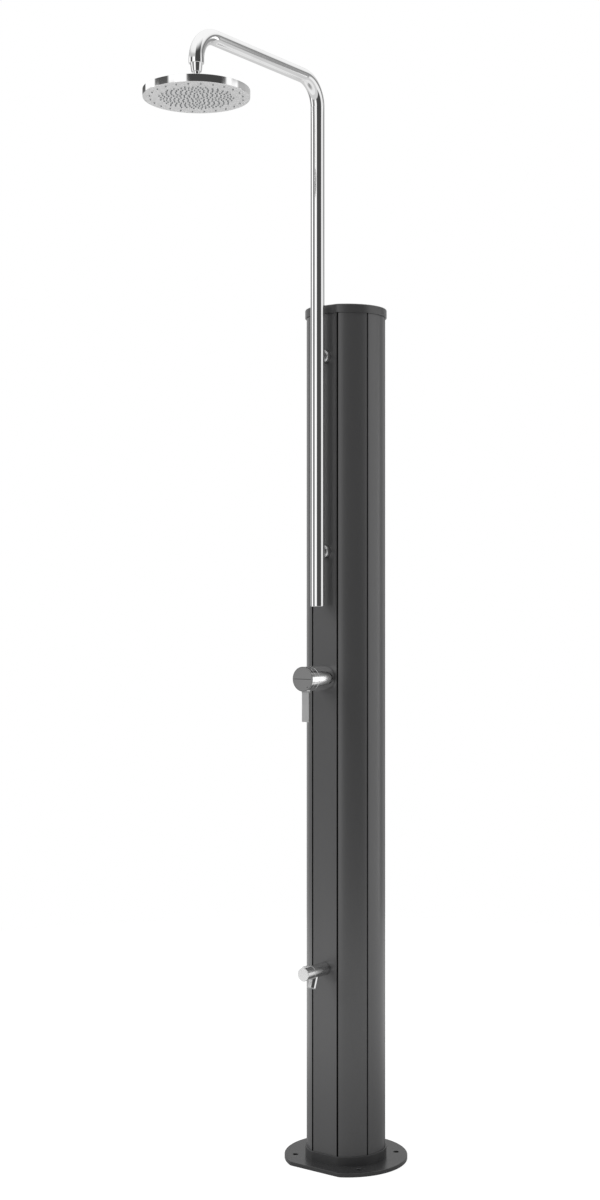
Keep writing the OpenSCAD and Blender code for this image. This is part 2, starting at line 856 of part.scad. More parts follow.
module mixer_lever() color("#b9bbbd") facing(mixer_z) difference() {
    union() {
        front_rod(mixer_r, hub_at, disc_at);
        translate([0, 0, disc_at - lever_t]) linear_extrude(height = lever_t) lever_outline();
    }
    front_rod(stem_r + fit, hub_at - cut, hub_at + stem_seat);
    front_rod(lever_screw_r + loose, hub_at, disc_at);
    front_rod(lever_screw_head_r + gap, hub_at + stem_seat + lever_web, disc_at + cut);
    front_ring(disc_ring_r + fit, disc_ring_r - disc_ring_w - fit, disc_at - disc_ring_l - gap,
        disc_at + cut);
}

module lever_screw() color("silver") facing(mixer_z) difference() {
    union() {
        front_rod(lever_screw_head_r, lever_screw_at, lever_screw_at + lever_screw_head_h);
        front_rod(lever_screw_r, lever_screw_at - lever_screw_l, lever_screw_at + cut);
    }
    translate([0, 0, lever_screw_at + lever_screw_head_h / 2])
        cylinder(h = lever_screw_head_h, r = screw_socket_r, $fn = 6);
}

module mixer_cap() color("#c3c5c7") facing(mixer_z) difference() {
    union() {
        translate([0, 0, disc_at + fit]) soft_disc(mixer_r, disc_t - fit, 0, edge_small);
        front_ring(disc_ring_r, disc_ring_r - disc_ring_w, disc_at - disc_ring_l, disc_at + cut);
    }
    translate([-mark_w / 2, -mark_h / 2, mixer_front - mark_depth]) cube([mark_w, mark_h, cut]);
    translate([dot_x, dot_z, mixer_front - mark_h]) cylinder(h = cut, r = dot_r);
}

// Turns a piece so that its own +Z runs down the spout
module along_spout() translate([0, -spout_at, tap_z]) rotate([180 - spout_tilt, 0, 0]) children();

module tap_body() color("#b9bbbd") difference() {
    facing(tap_z) {
        translate([0, 0, tap_at]) soft_disc(tap_r, tap_body_l, 0, edge_small);
        front_rod(tap_shank_r, tap_rear, tap_at + cut);
    }
    facing(tap_z) {
        front_rod(headwork_r + 2 * fit, tap_end - headwork_l - headwork_flange_t - 2 * gap, tap_end + cut);
        front_rod(headwork_flange_r + 2 * fit, tap_end - headwork_flange_t - gap, tap_end + cut);
        front_rod(spout_way_r, tap_rear - cut, tap_end - headwork_l);
    }
    along_spout() cylinder(h = 2 * tap_r, r = spout_spigot_r + fit);
}

module tap_gasket() color("#1c1c1c") facing(tap_z)
    front_ring(tap_r - edge_small, tap_shank_r + loose, flat, tap_at);

module tap_backnut() color("#b58a3c") facing(tap_z) difference() {
    translate([0, 0, flat_in - tap_nut_t]) cylinder(h = tap_nut_t, r = tap_nut_r, $fn = 6);
    front_rod(tap_shank_r + fit, 0, tap_at);
}

module tap_tee() color("#b58a3c") difference() {
    union() {
        facing(tap_z) front_rod(tee_socket_r, line_at, line_at + tee_socket_l);
        translate([0, -line_at, tap_z]) {
            cylinder(h = 2 * tee_half, r = tee_r, center = true);
            cylinder(h = 2 * (tee_half + tee_nipple_l), r = hose_r, center = true);
        }
    }
    facing(tap_z) {
        front_rod(tap_shank_r + fit, tap_rear - fit, tap_at);
        front_rod(spout_way_r, line_at, tap_rear + cut);
    }
    translate([0, -line_at, tap_z])
        cylinder(h = 2 * (tee_half + tee_nipple_l + cut), r = tee_way_r, center = true);
}

// Rear end of the tap's ceramic headwork, and the rear face of its turning disc
headwork_at = tap_end - headwork_flange_t - headwork_l;
headwork_disc_at = tap_end - headwork_wall - headwork_disc_t;

module tap_cartridge() color("#b58a3c") difference() {
    facing(tap_z) difference() {
        union() {
            front_rod(headwork_r, headwork_at, tap_end - gap);
            front_rod(headwork_flange_r, tap_end - headwork_flange_t, tap_end - gap);
        }
        front_rod(tap_stem_r + fit, headwork_disc_at, tap_end + cut);
        front_rod(headwork_disc_r + fit, headwork_disc_at - gap, headwork_disc_at + headwork_disc_t + fit);
        front_rod(tap_stem_r, headwork_at - cut, headwork_disc_at - headwork_disc_t);
    }
    along_spout() cylinder(h = tap_r, r = spout_way_r - cut);
}

module tap_stem() color("#b58a3c") facing(tap_z) {
    front_rod(headwork_disc_r, headwork_disc_at, headwork_disc_at + headwork_disc_t);
    front_rod(tap_stem_r, headwork_disc_at, knob_at + tap_stem_l);
}

module tap_knob() color("#c3c5c7") facing(tap_z) difference() {
    union() {
        translate([0, 0, knob_at]) soft_disc(tap_r, tap_knob_l, 0, edge_small);
        translate([-fin_w / 2, tap_r - fin_root, knob_at + cut])
            cube([fin_w, fin_root + fin_h, tap_knob_l - cut]);
    }
    front_rod(tap_stem_r + fit, knob_at - cut, knob_at + tap_stem_l + gap);
    translate([0, 0, knob_end - knob_grub_back]) rotate([0, 90, knob_grub_angle])
        cylinder(h = 2 * tap_r, r = knob_grub_r + fit);
}

module tap_grub_screw() color("dimgray") facing(tap_z)
    translate([0, 0, knob_end - knob_grub_back]) rotate([0, 90, knob_grub_angle])
        translate([0, 0, tap_stem_r + gap]) difference() {
            cylinder(h = knob_grub_l, r = knob_grub_r);
            translate([0, 0, knob_grub_l / 2]) cylinder(h = knob_grub_l, r = knob_grub_r / 2, $fn = 6);
        }

module tap_spout() color("#c9cbcd") difference() {
    union() {
        difference() {
            along_spout() soft_disc(spout_r, spout_l, 0, edge_small);
            facing(tap_z) front_rod(tap_r + fit, flat, mixer_end);
        }
        along_spout() cylinder(h = tap_r + cut, r = spout_spigot_r);
    }
    facing(tap_z) front_rod(headwork_r + 2 * fit + gap, flat, mixer_end);
    along_spout() {
        cylinder(h = spout_l + cut, r = spout_way_r);
        translate([0, 0, spout_l - aerator_t - fit]) cylinder(h = aerator_t + cut, r = aerator_r + 2 * fit);
    }
}

module tap_aerator() color("#8d9093") along_spout()
    translate([0, 0, spout_l - aerator_t]) difference() {
        cylinder(h = aerator_t + aerator_proud, r = aerator_r);
        for (a = [0:60:300]) rotate(a) translate([aerator_row_r, 0, -cut])
            cylinder(h = 2 * aerator_t, r = aerator_hole_r);
        translate([0, 0, -cut]) cylinder(h = 2 * aerator_t, r = aerator_hole_r);
    }

riser_route = [
    [0, -riser_at, riser_bottom + plug_flange], [0, -riser_at, arm_z],
    [0, -head_at, arm_z], [0, -head_at, drop_z]
];

module riser_pipe() color("#d8dadc") difference() {
    tube(riser_route, arm_bend, riser_r, riser_bore);
    for (z = [standoff_low_z, standoff_high_z])
        facing(z) front_rod(spigot_r + fit, flat, riser_at);
}

module riser_plug() color("#d8dadc") translate([0, -riser_at, riser_bottom]) {
    soft_disc(riser_r - gap, plug_flange, edge_small, 0);
    cylinder(h = plug_flange + plug_h, r = riser_bore - fit);
}

// A standoff between the front panel and the riser
module standoff(z, shank) color("#c9cbcd") difference() {
    union() {
        difference() {
            facing(z) {
                translate([0, 0, standoff_foot_at]) soft_disc(standoff_r, foot_t, 0, edge_large);
                front_rod(neck_r, standoff_foot_at + cut, riser_at);
            }
            translate([0, -riser_at, z]) cylinder(h = 2 * riser_d, r = riser_r + fit, center = true);
        }
        facing(z) {
            front_rod(spigot_r, standoff_foot_at, riser_at - riser_bore + spigot_l);
            front_rod(standoff_shank_r, standoff_foot_at - shank, standoff_foot_at + cut);
        }
    }
    translate([neck_r - standoff_grub_l - gap, -standoff_grub_at, z]) rotate([0, 90, 0])
        cylinder(h = neck_r, r = standoff_grub_r + fit);
}

module standoff_lower() difference() {
    standoff(standoff_low_z, standoff_shank_l + gasket_t);
    color("#c9cbcd") facing(standoff_low_z) front_rod(standoff_way_r, 0, riser_at);
}

module standoff_upper() standoff(standoff_high_z, stub_shank_l + gasket_t);

module at_standoffs() for (z = [standoff_low_z, standoff_high_z]) facing(z) children();

module standoff_gaskets() color("#1c1c1c") at_standoffs()
    front_ring(standoff_r - edge_small, standoff_shank_r + loose, flat, standoff_foot_at);

module standoff_backnuts() color("#b58a3c") at_standoffs() difference() {
    translate([0, 0, flat_in - standoff_nut_t])
        cylinder(h = standoff_nut_t, r = standoff_nut_r, $fn = 6);
    front_rod(standoff_shank_r + fit, 0, flat);
}

module standoff_grub_screws() color("dimgray") for (z = [standoff_low_z, standoff_high_z])
    translate([neck_r - standoff_grub_l, -standoff_grub_at, z]) rotate([0, 90, 0]) difference() {
        cylinder(h = standoff_grub_l - gap, r = standoff_grub_r);
        translate([0, 0, standoff_grub_l / 2])
            cylinder(h = standoff_grub_l, r = standoff_grub_r / 2, $fn = 6);
    }

module outlet_elbow() color("#b58a3c") difference() {
    union() {
        facing(standoff_low_z) front_rod(neck_r, line_at, line_at + tee_socket_l);
        translate([0, -line_at, standoff_low_z - tee_half]) cylinder(h = tee_half + neck_r, r = neck_r);
        translate(riser_in) cylinder(h = elbow_drop, r = hose_r);
    }
    facing(standoff_low_z) {
        front_rod(standoff_shank_r + fit, standoff_foot_at - standoff_shank_l - gasket_t - fit, flat);
        front_rod(tee_way_r, line_at, flat);
    }
    translate(riser_in) translate([0, 0, -cut]) cylinder(h = elbow_drop + cut, r = tee_way_r);
}

// Puts a piece on the shower head's axis, at the ball's centre
module at_ball() translate([0, -head_at, ball_z]) children();

module swivel_stud() color("#c9cbcd") at_ball() difference() {
    union() {
        sphere(r = ball_r);
        cylinder(h = ball_drop - stud_sleeve_l + cut, r = ball_neck_r);
        translate([0, 0, ball_drop - stud_sleeve_l])
            cylinder(h = stud_sleeve_l, r1 = stud_sleeve_low_r, r2 = stud_sleeve_top_r);
        translate([0, 0, ball_drop - cut]) cylinder(h = stud_spigot_l + cut, r = riser_bore - fit);
    }
    translate([0, 0, -2 * ball_r]) cylinder(h = 2 * drop_l, r = stud_way_r);
}

module ball_liner() color("white") at_ball() difference() {
    intersection() {
        sphere(r = ball_r + fit + liner_t);
        translate([0, 0, -liner_down]) cylinder(h = liner_down + liner_up, r = 2 * ball_r);
    }
    sphere(r = ball_r + fit);
}

module swivel_nut() color("#c9cbcd") at_ball() difference() {
    translate([0, 0, -nut_down]) soft_disc(nut_out_r, nut_down + nut_up, edge_small, edge_small);
    sphere(r = nut_cavity_r);
    translate([0, 0, -nut_down - cut]) cylinder(h = nut_down + cut, r = nut_cavity_r);
    cylinder(h = nut_up, r = nut_lip_r);
    translate([0, 0, liner_up + fit + nut_lip_t])
        cylinder(h = nut_up - liner_up - fit - nut_lip_t, r1 = nut_lip_r, r2 = nut_mouth_r);
    translate([0, 0, nut_up - cut / 10]) cylinder(h = cut, r = nut_mouth_r);
}

// Puts a piece on the shower head's axis, at the lower edge of its rim
module at_head() translate([0, -head_at, head_low]) children();

module head_shell() color("#d8dadc") {
    at_head() difference() {
        soft_disc(head_r, head_t, head_round, head_round);
        translate([0, 0, -cut]) cylinder(h = head_t - head_skin + cut, r = head_r - head_wall);
        cylinder(h = head_t + cut, r = stud_way_r);
    }
    difference() {
        translate([0, -head_at, head_top - head_skin])
            cylinder(h = ball_z - hub_top_drop - head_top + head_skin, r = nut_cavity_r - fit);
        at_ball() sphere(r = ball_r + gap);
        translate([0, -head_at, head_low]) cylinder(h = drop_l, r = stud_way_r);
    }
}

// Places of the nozzles: one outer row, then a field of evenly scattered ones
field_r = head_r * inner_row_share;
nozzle_places = concat(
    [for (i = [0:outer_nozzles - 1]) let (a = i * 360 / outer_nozzles)
        head_r * outer_row_share * [cos(a), sin(a)]],
    [for (i = [0:inner_nozzles - 1]) let (a = i * inner_turn)
        field_r * sqrt((i + 0.5) / inner_nozzles) * [cos(a), sin(a)]]
);

module at_nozzles() for (p = nozzle_places) translate([p[0], p[1], 0]) children();

module head_face() color("#b4b6b8") at_head() translate([0, 0, face_in]) difference() {
    cylinder(h = face_t, r = head_r - head_wall - 2 * fit);
    at_nozzles() translate([0, 0, -cut]) cylinder(h = face_t + 2 * cut, r = nub_root_r + nub_clear, $fn = 24);
}

module nozzle_mat() color("#55585b") at_head() translate([0, 0, face_in + face_t]) difference() {
    union() {
        cylinder(h = mat_t, r = head_r - head_wall - mat_margin);
        at_nozzles() translate([0, 0, -face_t - nub_proud])
            cylinder(h = face_t + nub_proud + mat_t / 2, r1 = nub_tip_r, r2 = nub_root_r, $fn = 24);
    }
    at_nozzles() translate([0, 0, -face_t - nub_proud - cut])
        cylinder(h = face_t + nub_proud + mat_t + 2 * cut, r = nub_bore_r, $fn = 16);
}

module head_seal() color("#1c1c1c") at_head()
    translate([0, 0, face_in + face_t + seal_ring_r + fit]) rotate_extrude()
        translate([head_r - head_wall - seal_ring_r - fit, 0]) circle(r = seal_ring_r);

base_plate();
base_screws();
base_collar();
column_profile();
top_cap();
cap_seal();
cap_screws();
tank_shelf();
shelf_posts();
tank_pad();
tank_bottom_end();
tank_shell();
tank_top_end();
tank_spacers();
inlet_nipple();
inlet_gasket();
inlet_backnut();
inlet_tee();
feed_hose();
tap_hose();
cold_hose();
hot_hose();
outlet_hose();
hose_nuts();
mixer_body();
mixer_gasket();
mixer_backnut();
mixer_nipples();
mixer_cartridge();
cartridge_nut();
mixer_stem();
mixer_lever();
lever_screw();
mixer_cap();
tap_body();
tap_gasket();
tap_backnut();
tap_tee();
tap_cartridge();
tap_stem();
tap_knob();
tap_grub_screw();
tap_spout();
tap_aerator();
riser_pipe();
riser_plug();
standoff_lower();
standoff_upper();
standoff_gaskets();
standoff_backnuts();
standoff_grub_screws();
outlet_elbow();
swivel_stud();
ball_liner();
swivel_nut();
head_shell();
head_face();
nozzle_mat();
head_seal();
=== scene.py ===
"""Dresses the outdoor shower post in finer skins and finishes, and sets up a studio round it.

Lengths are in metres. The post stands on z = 0, its axis is the Z axis and its flat front faces -Y.
"""

import logging
import math
from dataclasses import dataclass
from enum import Enum
from typing import Callable, Optional, Sequence, Union

import bmesh
import bpy
from bmesh.types import BMEdge, BMFace, BMVert
from mathutils import Matrix, Vector

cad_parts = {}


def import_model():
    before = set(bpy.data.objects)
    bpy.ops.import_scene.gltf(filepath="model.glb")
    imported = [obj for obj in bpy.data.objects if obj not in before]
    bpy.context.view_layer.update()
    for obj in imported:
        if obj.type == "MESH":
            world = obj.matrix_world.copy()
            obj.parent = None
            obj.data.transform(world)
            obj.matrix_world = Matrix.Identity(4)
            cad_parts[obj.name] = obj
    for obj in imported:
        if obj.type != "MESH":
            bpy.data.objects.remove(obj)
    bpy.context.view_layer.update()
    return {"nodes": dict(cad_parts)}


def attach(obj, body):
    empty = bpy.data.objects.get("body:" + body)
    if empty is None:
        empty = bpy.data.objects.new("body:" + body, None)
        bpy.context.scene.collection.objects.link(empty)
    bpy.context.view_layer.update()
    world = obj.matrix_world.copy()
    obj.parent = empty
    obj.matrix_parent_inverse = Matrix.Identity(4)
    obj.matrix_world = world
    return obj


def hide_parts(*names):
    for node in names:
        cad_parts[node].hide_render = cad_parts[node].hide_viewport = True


LOG = logging.getLogger("shower_post")
MERGE = 1e-6
QUARTER = math.pi / 2
SHARP = math.radians(32)
Colour = tuple[float, float, float]
Point = tuple[float, float]
Corner = tuple[float, float, float]
Triple = Sequence[float]
Term = Union[float, "Value"]

# Sizes that several pieces share. PAST is how far a cutter passes the surface that it cuts.
# LEVEL_HALF and DOT_AT are half the level line's length and the dot's place on the mixer's disc.
PAST = 0.001
COLUMN_RADIUS = 0.080
COLUMN_FLAT = 0.0739
GROOVES = 8
PLATE_TOP = 0.008
PORTS = (45, 135, 225, 315)
PORT_AT = 0.0740
SCREW, SCREW_HEAD = 0.0027, 0.0049
MIXER_Z = 0.979
TAP_Z = 0.397
FEET_Z = (1.232, 1.622)
RISER_AT = 0.0989
DISC_RADIUS = 0.0245
LEVEL_HALF = 0.0200
DOT_AT = (0.0108, -0.0157)


class Body(Enum):
    """The moving bodies that the pieces made here ride on."""

    POST = "post"
    LEVER = "mixer_lever"
    NUT = "swivel_nut"
    HEAD = "shower_head"


class Grain(Enum):
    """Which way the fine marks of a finish run."""

    NONE = "none"
    ALONG_X = "along X"
    ALONG_Z = "along Z"
    TURNED = "rings about Y"


# ---------------------------------------------------------------- shader maths


def _math(operation: str, swapped: bool = False) -> Callable[..., "Value"]:
    """Makes a method that adds one Math node.

    Args:
        operation: The Math node's operation.
        swapped: Whether the method's own value comes last, as in a reflected operator.

    Returns:
        The method.
    """

    def method(self: "Value", *others: Term) -> "Value":
        """Returns the node's result."""
        terms = (*others, self) if swapped else (self, *others)
        settings = {"operation": operation}
        return self.shader.value("ShaderNodeMath", settings, dict(enumerate(terms)))

    return method


class Value:
    """A shader socket that takes part in sums, so that shader maths reads as Python.

    size() drops the sign, fraction() keeps what lies beyond a whole number, and
    y.angle_from(x) is the angle whose tangent is y / x, in radians.
    """

    def __init__(self, shader: "Shader", socket: bpy.types.NodeSocket) -> None:
        """Keeps the socket and the shader that it belongs to."""
        self.shader = shader
        self.socket = socket

    __add__ = _math("ADD")
    __radd__ = _math("ADD", swapped=True)
    __sub__ = _math("SUBTRACT")
    __rsub__ = _math("SUBTRACT", swapped=True)
    __mul__ = _math("MULTIPLY")
    __rmul__ = _math("MULTIPLY", swapped=True)
    __truediv__ = _math("DIVIDE")
    sine = _math("SINE")
    size = _math("ABSOLUTE")
    fraction = _math("FRACT")
    root = _math("SQRT")
    larger = _math("MAXIMUM")
    angle_from = _math("ARCTAN2")

    def between(self, low: float, high: float) -> "Value":
        """Returns 0 below low, 1 above high and a smooth step between them."""
        return self.shader.value(
            "ShaderNodeMapRange",
            {"interpolation_type": "SMOOTHSTEP"},
            {"Value": self, "From Min": low, "From Max": high},
        )

    def within(self, low: float, high: float) -> "Value":
        """Returns 1 below low, 0 above high and a smooth step between them."""
        return 1.0 - self.between(low, high)


class Shader:
    """The node tree of one material or of the world."""

    def __init__(self, tree: bpy.types.NodeTree) -> None:
        """Empties the tree."""
        self.tree = tree
        tree.nodes.clear()

    def node(
        self, kind: str, settings: Optional[dict] = None, inputs: Optional[dict] = None
    ) -> bpy.types.Node:
        """Adds one node.

        Args:
            kind: The node's type.
            settings: Its settings; "stops" are a colour ramp's places and grey levels.
            inputs: Values, or links from a Value, by the names or numbers of its sockets.

        Returns:
            The node.
        """
        made = self.tree.nodes.new(kind)
        for key, setting in (settings or {}).items():
            if key == "stops":
                self._set_stops(made.color_ramp, setting)
            else:
                setattr(made, key, setting)
        for key, term in (inputs or {}).items():
            if isinstance(term, Value):
                self.tree.links.new(term.socket, made.inputs[key])
            elif isinstance(made.inputs[key], bpy.types.NodeSocketColor) and len(term) == 3:
                made.inputs[key].default_value = (*term, 1.0)
            else:
                made.inputs[key].default_value = term
        return made

    def value(
        self,
        kind: str,
        settings: Optional[dict] = None,
        inputs: Optional[dict] = None,
        output: Union[int, str] = 0,
    ) -> Value:
        """Adds one node, as node() does.

        Returns:
            One of its outputs.
        """
        return Value(self, self.node(kind, settings, inputs).outputs[output])

    @staticmethod
    def _set_stops(ramp: bpy.types.ColorRamp, stops: Sequence[tuple[float, float]]) -> None:
        """Puts grey levels on a colour ramp.

        Args:
            ramp: The ramp, with its two first stops.
            stops: Places from 0 to 1, each with its level.
        """
        while len(ramp.elements) < len(stops):
            ramp.elements.new(1.0)
        for element, (place, level) in zip(ramp.elements, stops):
            element.position = place
            element.color = (level, level, level, 1.0)

    def coordinates(
        self, centre: Triple = (0, 0, 0), stretch: Triple = (1, 1, 1)
    ) -> Value:
        """Returns the surface point from a centre, stretched along each axis."""
        point = self.value("ShaderNodeTexCoord", output="Object")
        moved = self.value("ShaderNodeVectorMath", {"operation": "SUBTRACT"}, {0: point, 1: centre})
        return self.value("ShaderNodeVectorMath", {"operation": "MULTIPLY"}, {0: moved, 1: stretch})

    def parts(self, vector: Optional[Value] = None) -> tuple[Value, ...]:
        """Returns the three parts of a vector, or of the surface point if none is given."""
        node = self.node("ShaderNodeSeparateXYZ", inputs={0: vector or self.coordinates()})
        return tuple(Value(self, out) for out in node.outputs)

    def grain(self, way: Grain, fine: float, centre: Triple) -> Value:
        """Stretches the coordinates so that noise becomes marks that run one way.

        Args:
            way: Which way the marks run.
            fine: Marks in a metre, across them.
            centre: The middle of turned marks.

        Returns:
            The coordinates.
        """
        coarse = fine / 60
        stretches = {
            Grain.NONE: (fine, fine, fine),
            Grain.ALONG_X: (coarse, fine, fine),
            Grain.ALONG_Z: (fine, fine, coarse),
        }
        if way in stretches:
            return self.coordinates(centre, stretches[way])
        x, y, z = self.parts(self.coordinates(centre))
        out = (x * x + z * z).root()
        return self.value("ShaderNodeCombineXYZ", inputs={0: out * fine, 1: y * fine, 2: 0.0})

    def noise(self, vector: Value, detail: float = 2.0) -> Value:
        """Returns soft noise about 0.5."""
        inputs = {"Vector": vector, "Scale": 1.0, "Detail": detail}
        return self.value("ShaderNodeTexNoise", inputs=inputs)

    def cloud(self, spots: Triple, detail: float = 2.0) -> Value:
        """Returns soft noise about 0.5, with so many spots in a metre along each axis."""
        return self.noise(self.coordinates(stretch=spots), detail)

    def blend(self, first: Value | Colour, second: Value | Colour, share: Value) -> Value:
        """Returns a colour that goes over from one to the other."""
        inputs = {"Factor": share, 6: first, 7: second}
        return self.value("ShaderNodeMix", {"data_type": "RGBA"}, inputs, 2)

    def mix(self, share: Value, first: Value, second: Value) -> Value:
        """Returns a surface that goes over from one to the other."""
        return self.value("ShaderNodeMixShader", inputs={0: share, 1: first, 2: second})

    def ramp(self, place: Value, stops: Sequence[Point]) -> Value:
        """Returns the grey level that lies at a place among stops."""
        return self.value("ShaderNodeValToRGB", {"stops": stops}, {"Fac": place})

    def rays(self) -> tuple[Value, Value]:
        """Returns 1 for rays of the camera, and 1 for rays that are mirrored or pass through."""
        outputs = self.node("ShaderNodeLightPath").outputs
        names = ("Is Camera Ray", "Is Glossy Ray", "Is Transmission Ray")
        seen, mirrored, passed = (Value(self, outputs[name]) for name in names)
        return seen, mirrored.larger(passed)

    def bump(self, height: Value, strength: float, depth: float) -> Value:
        """Returns the normal of a surface with that height on it."""
        inputs = {"Height": height, "Strength": strength, "Distance": depth}
        return self.value("ShaderNodeBump", inputs=inputs)

    def surface(self, colour: Value, rough: Value, normal: Value, others: dict) -> None:
        """Ends the tree in one Principled shader.

        Args:
            colour: Its colour.
            rough: Its roughness.
            normal: Its normal.
            others: What its other sockets take.
        """
        inputs = {"Base Color": colour, "Roughness": rough, "Normal": normal, **others}
        shader = self.value("ShaderNodeBsdfPrincipled", inputs=inputs)
        self.node("ShaderNodeOutputMaterial", inputs={"Surface": shader})


# ---------------------------------------------------------------- finishes


def grey(level: float) -> Colour:
    """Returns a neutral colour."""
    return (level, level, level)


WHITE = grey(1.0)


@dataclass(frozen=True)
class Finish:
    """A finish: its name, its slot in the record, and its colour and roughness.

    Attributes:
        centre: The point that turned marks run round.
    """

    name: str
    slot: str
    colour: Colour
    roughness: float
    centre: tuple[float, float, float] = (0.0, 0.0, 0.0)

    def material(self) -> bpy.types.Material:
        """Returns the finish's material, which is made the first time."""
        found = bpy.data.materials.get(self.name)
        if found:
            return found
        made = bpy.data.materials.new(self.name)
        made.use_nodes = True
        self.paint(Shader(made.node_tree))
        return made

    def paint(self, shader: Shader) -> None:
        """Builds the finish's nodes."""
        raise NotImplementedError

    def shades(self, shader: Shader, low: float, high: float, share: Value) -> Value:
        """Returns the finish's colour, which goes from low to high times itself."""
        ends = (tuple(min(1.0, part * times) for part in self.colour) for times in (low, high))
        return shader.blend(*ends, share)


@dataclass(frozen=True)
class Coat(Finish):
    """A powder coat: very fine orange peel over a satin, slightly uneven dark colour.

    Attributes:
        peel: Peel marks in a metre.
        peel_depth: Their depth.
        gloss: The coat's refractive index.
        groove_shade_half: Half the width of the painted shade in the long grooves, or 0.
    """

    peel: float = 1100.0
    peel_depth: float = 0.00006
    gloss: float = 1.7
    groove_shade_half: float = 0.0

    def paint(self, shader: Shader) -> None:
        """Builds the finish's nodes."""
        fine = shader.cloud([self.peel] * 3, 3.0)
        broad = shader.cloud((9.0, 9.0, 1.6))
        speck = shader.cloud([2600.0] * 3, 1.0)
        colour = self.shades(shader, 0.9, 1.1, broad * 0.6 + speck * 0.4)
        others = {"IOR": self.gloss}
        # Painted shade: the long grooves are painted near black and metallic, so they show neither
        # colour nor sheen.
        if self.groove_shade_half:
            others["Metallic"] = self._painted_groove_shade(shader)
            colour = shader.blend(colour, grey(0.004), others["Metallic"])
        rough = (broad - 0.5) * 0.06 + (fine - 0.5) * 0.05 + self.roughness
        shader.surface(colour, rough, shader.bump(fine, 0.25, self.peel_depth), others)

    def _painted_groove_shade(self, shader: Shader) -> Value:
        """Returns 1 in the long grooves, where their shade is painted, and 0 beside them."""
        radius = 0.0785
        x, y, _ = shader.parts()
        turn = x.angle_from(y * -1.0) * (GROOVES / math.tau) + GROOVES
        aside = (turn.fraction() - 0.5).size() * (radius * math.tau / GROOVES)
        beside_front = (y * -1.0).between(0.060, 0.065)
        aside = aside - beside_front * (0.25 * self.groove_shade_half)
        return aside.within(self.groove_shade_half, self.groove_shade_half * 1.2)


@dataclass(frozen=True)
class Metal(Finish):
    """A bare metal with fine marks, so many in a metre, that run one way.

    Attributes:
        mark_strength: How strongly the marks tilt the surface.
        uneven: How much they change its roughness.
    """

    grain: Grain = Grain.NONE
    fine: float = 2500.0
    depth: float = 0.00002
    mark_strength: float = 0.15
    uneven: float = 0.06

    def paint(self, shader: Shader) -> None:
        """Builds the finish's nodes."""
        marks = shader.noise(shader.grain(self.grain, self.fine, self.centre))
        smudge = shader.cloud((22.0, 22.0, 14.0), 3.0)
        rough = (marks - 0.5) * self.uneven + (smudge - 0.5) * 0.04 + self.worked(shader)
        colour = self.marked(shader, self.shades(shader, 0.95, 1.03, smudge))
        normal = shader.bump(marks, self.mark_strength, self.depth)
        shader.surface(colour, rough, normal, {"Metallic": 1.0})

    def marked(self, shader: Shader, colour: Value) -> Value:
        """Returns the metal's colour with what is marked on it, which is nothing on bare metal."""
        return colour

    def worked(self, shader: Shader) -> Value | float:
        """Returns how rough the metal is, which is the same all over on bare metal."""
        return self.roughness


@dataclass(frozen=True)
class Dial(Metal):
    """A turned metal front with a level line and a dot marked, and painted shade on its rim."""

    def marked(self, shader: Shader, colour: Value) -> Value:
        """Returns the metal's colour with the darker marks and the painted rim shade on it."""
        x, _, z = shader.parts(shader.coordinates(self.centre))
        line = z.size().within(0.0004, 0.0008) * x.size().within(LEVEL_HALF, LEVEL_HALF + 0.0008)
        # Painted shade: a thin dark ring just inside the edge stands for the shade on the disc's
        # rounded rim.
        off_rim_shade = (x * x + z * z).root() - (DISC_RADIUS - 0.0007)
        ring = off_rim_shade.size().within(0.0004, 0.0009)
        aside, below = x - DOT_AT[0], z - DOT_AT[1]
        dot = (aside * aside + below * below).root().within(0.0010, 0.0014)
        return shader.blend(colour, grey(0.05), (line * 0.7).larger(ring * 0.6).larger(dot * 0.9))


@dataclass(frozen=True)
class Sided(Metal):
    """A brushed metal with painted shade on the sides of a narrow bar.

    Attributes:
        half: Half the bar's width.
        top: Height at which the bar begins.
        smooth: How rough the metal above the bar is.
    """

    half: float = 0.0085
    top: float = 0.951
    smooth: float = 0.13

    def _above(self, shader: Shader) -> Value:
        """Returns 1 above the bar and 0 on it."""
        return shader.parts()[2].between(self.top, self.top + 0.004)

    def worked(self, shader: Shader) -> Value:
        """Returns how rough the metal is, which is smoother above the bar."""
        return self._above(shader) * (self.smooth - self.roughness) + self.roughness

    def marked(self, shader: Shader, colour: Value) -> Value:
        """Returns the metal's colour, with painted shade on the bar's sides."""
        # Painted shade: both sides of the bar are darkened.
        painted_side_shade = shader.parts()[0].size().between(self.half - 0.0003, self.half - 0.0001)
        return shader.blend(colour, grey(0.12), painted_side_shade * (1.0 - self._above(shader)))


@dataclass(frozen=True)
class Faced(Metal):
    """A satin metal with painted shade behind its flat front, which dims the body's reflections.

    Attributes:
        front: Where the front lies, in metres before the post's axis.
    """

    front: float = 0.1472

    def marked(self, shader: Shader, colour: Value) -> Value:
        """Returns the metal's colour, with painted shade behind the front."""
        # Painted shade: everything behind the front is darkened, so only the front keeps its bright
        # reflections.
        behind = (shader.parts()[1] * -1.0).within(self.front - 0.0005, self.front)
        return shader.blend(colour, grey(0.72), behind)


@dataclass(frozen=True)
class Polish(Finish):
    """A mirror polish with faint smudges and wipe marks."""

    def paint(self, shader: Shader) -> None:
        """Builds the finish's nodes."""
        worn = shader.cloud((24.0, 24.0, 9.0), 3.0).between(0.45, 0.75)
        wipes = shader.cloud((160.0, 160.0, 12.0))
        colour = self.shades(shader, 1.0, 0.96, worn)
        rough = worn * 0.03 + (wipes - 0.5) * 0.02 + self.roughness
        shader.surface(colour, rough, shader.bump(wipes, 0.006, 0.0001), {"Metallic": 1.0})


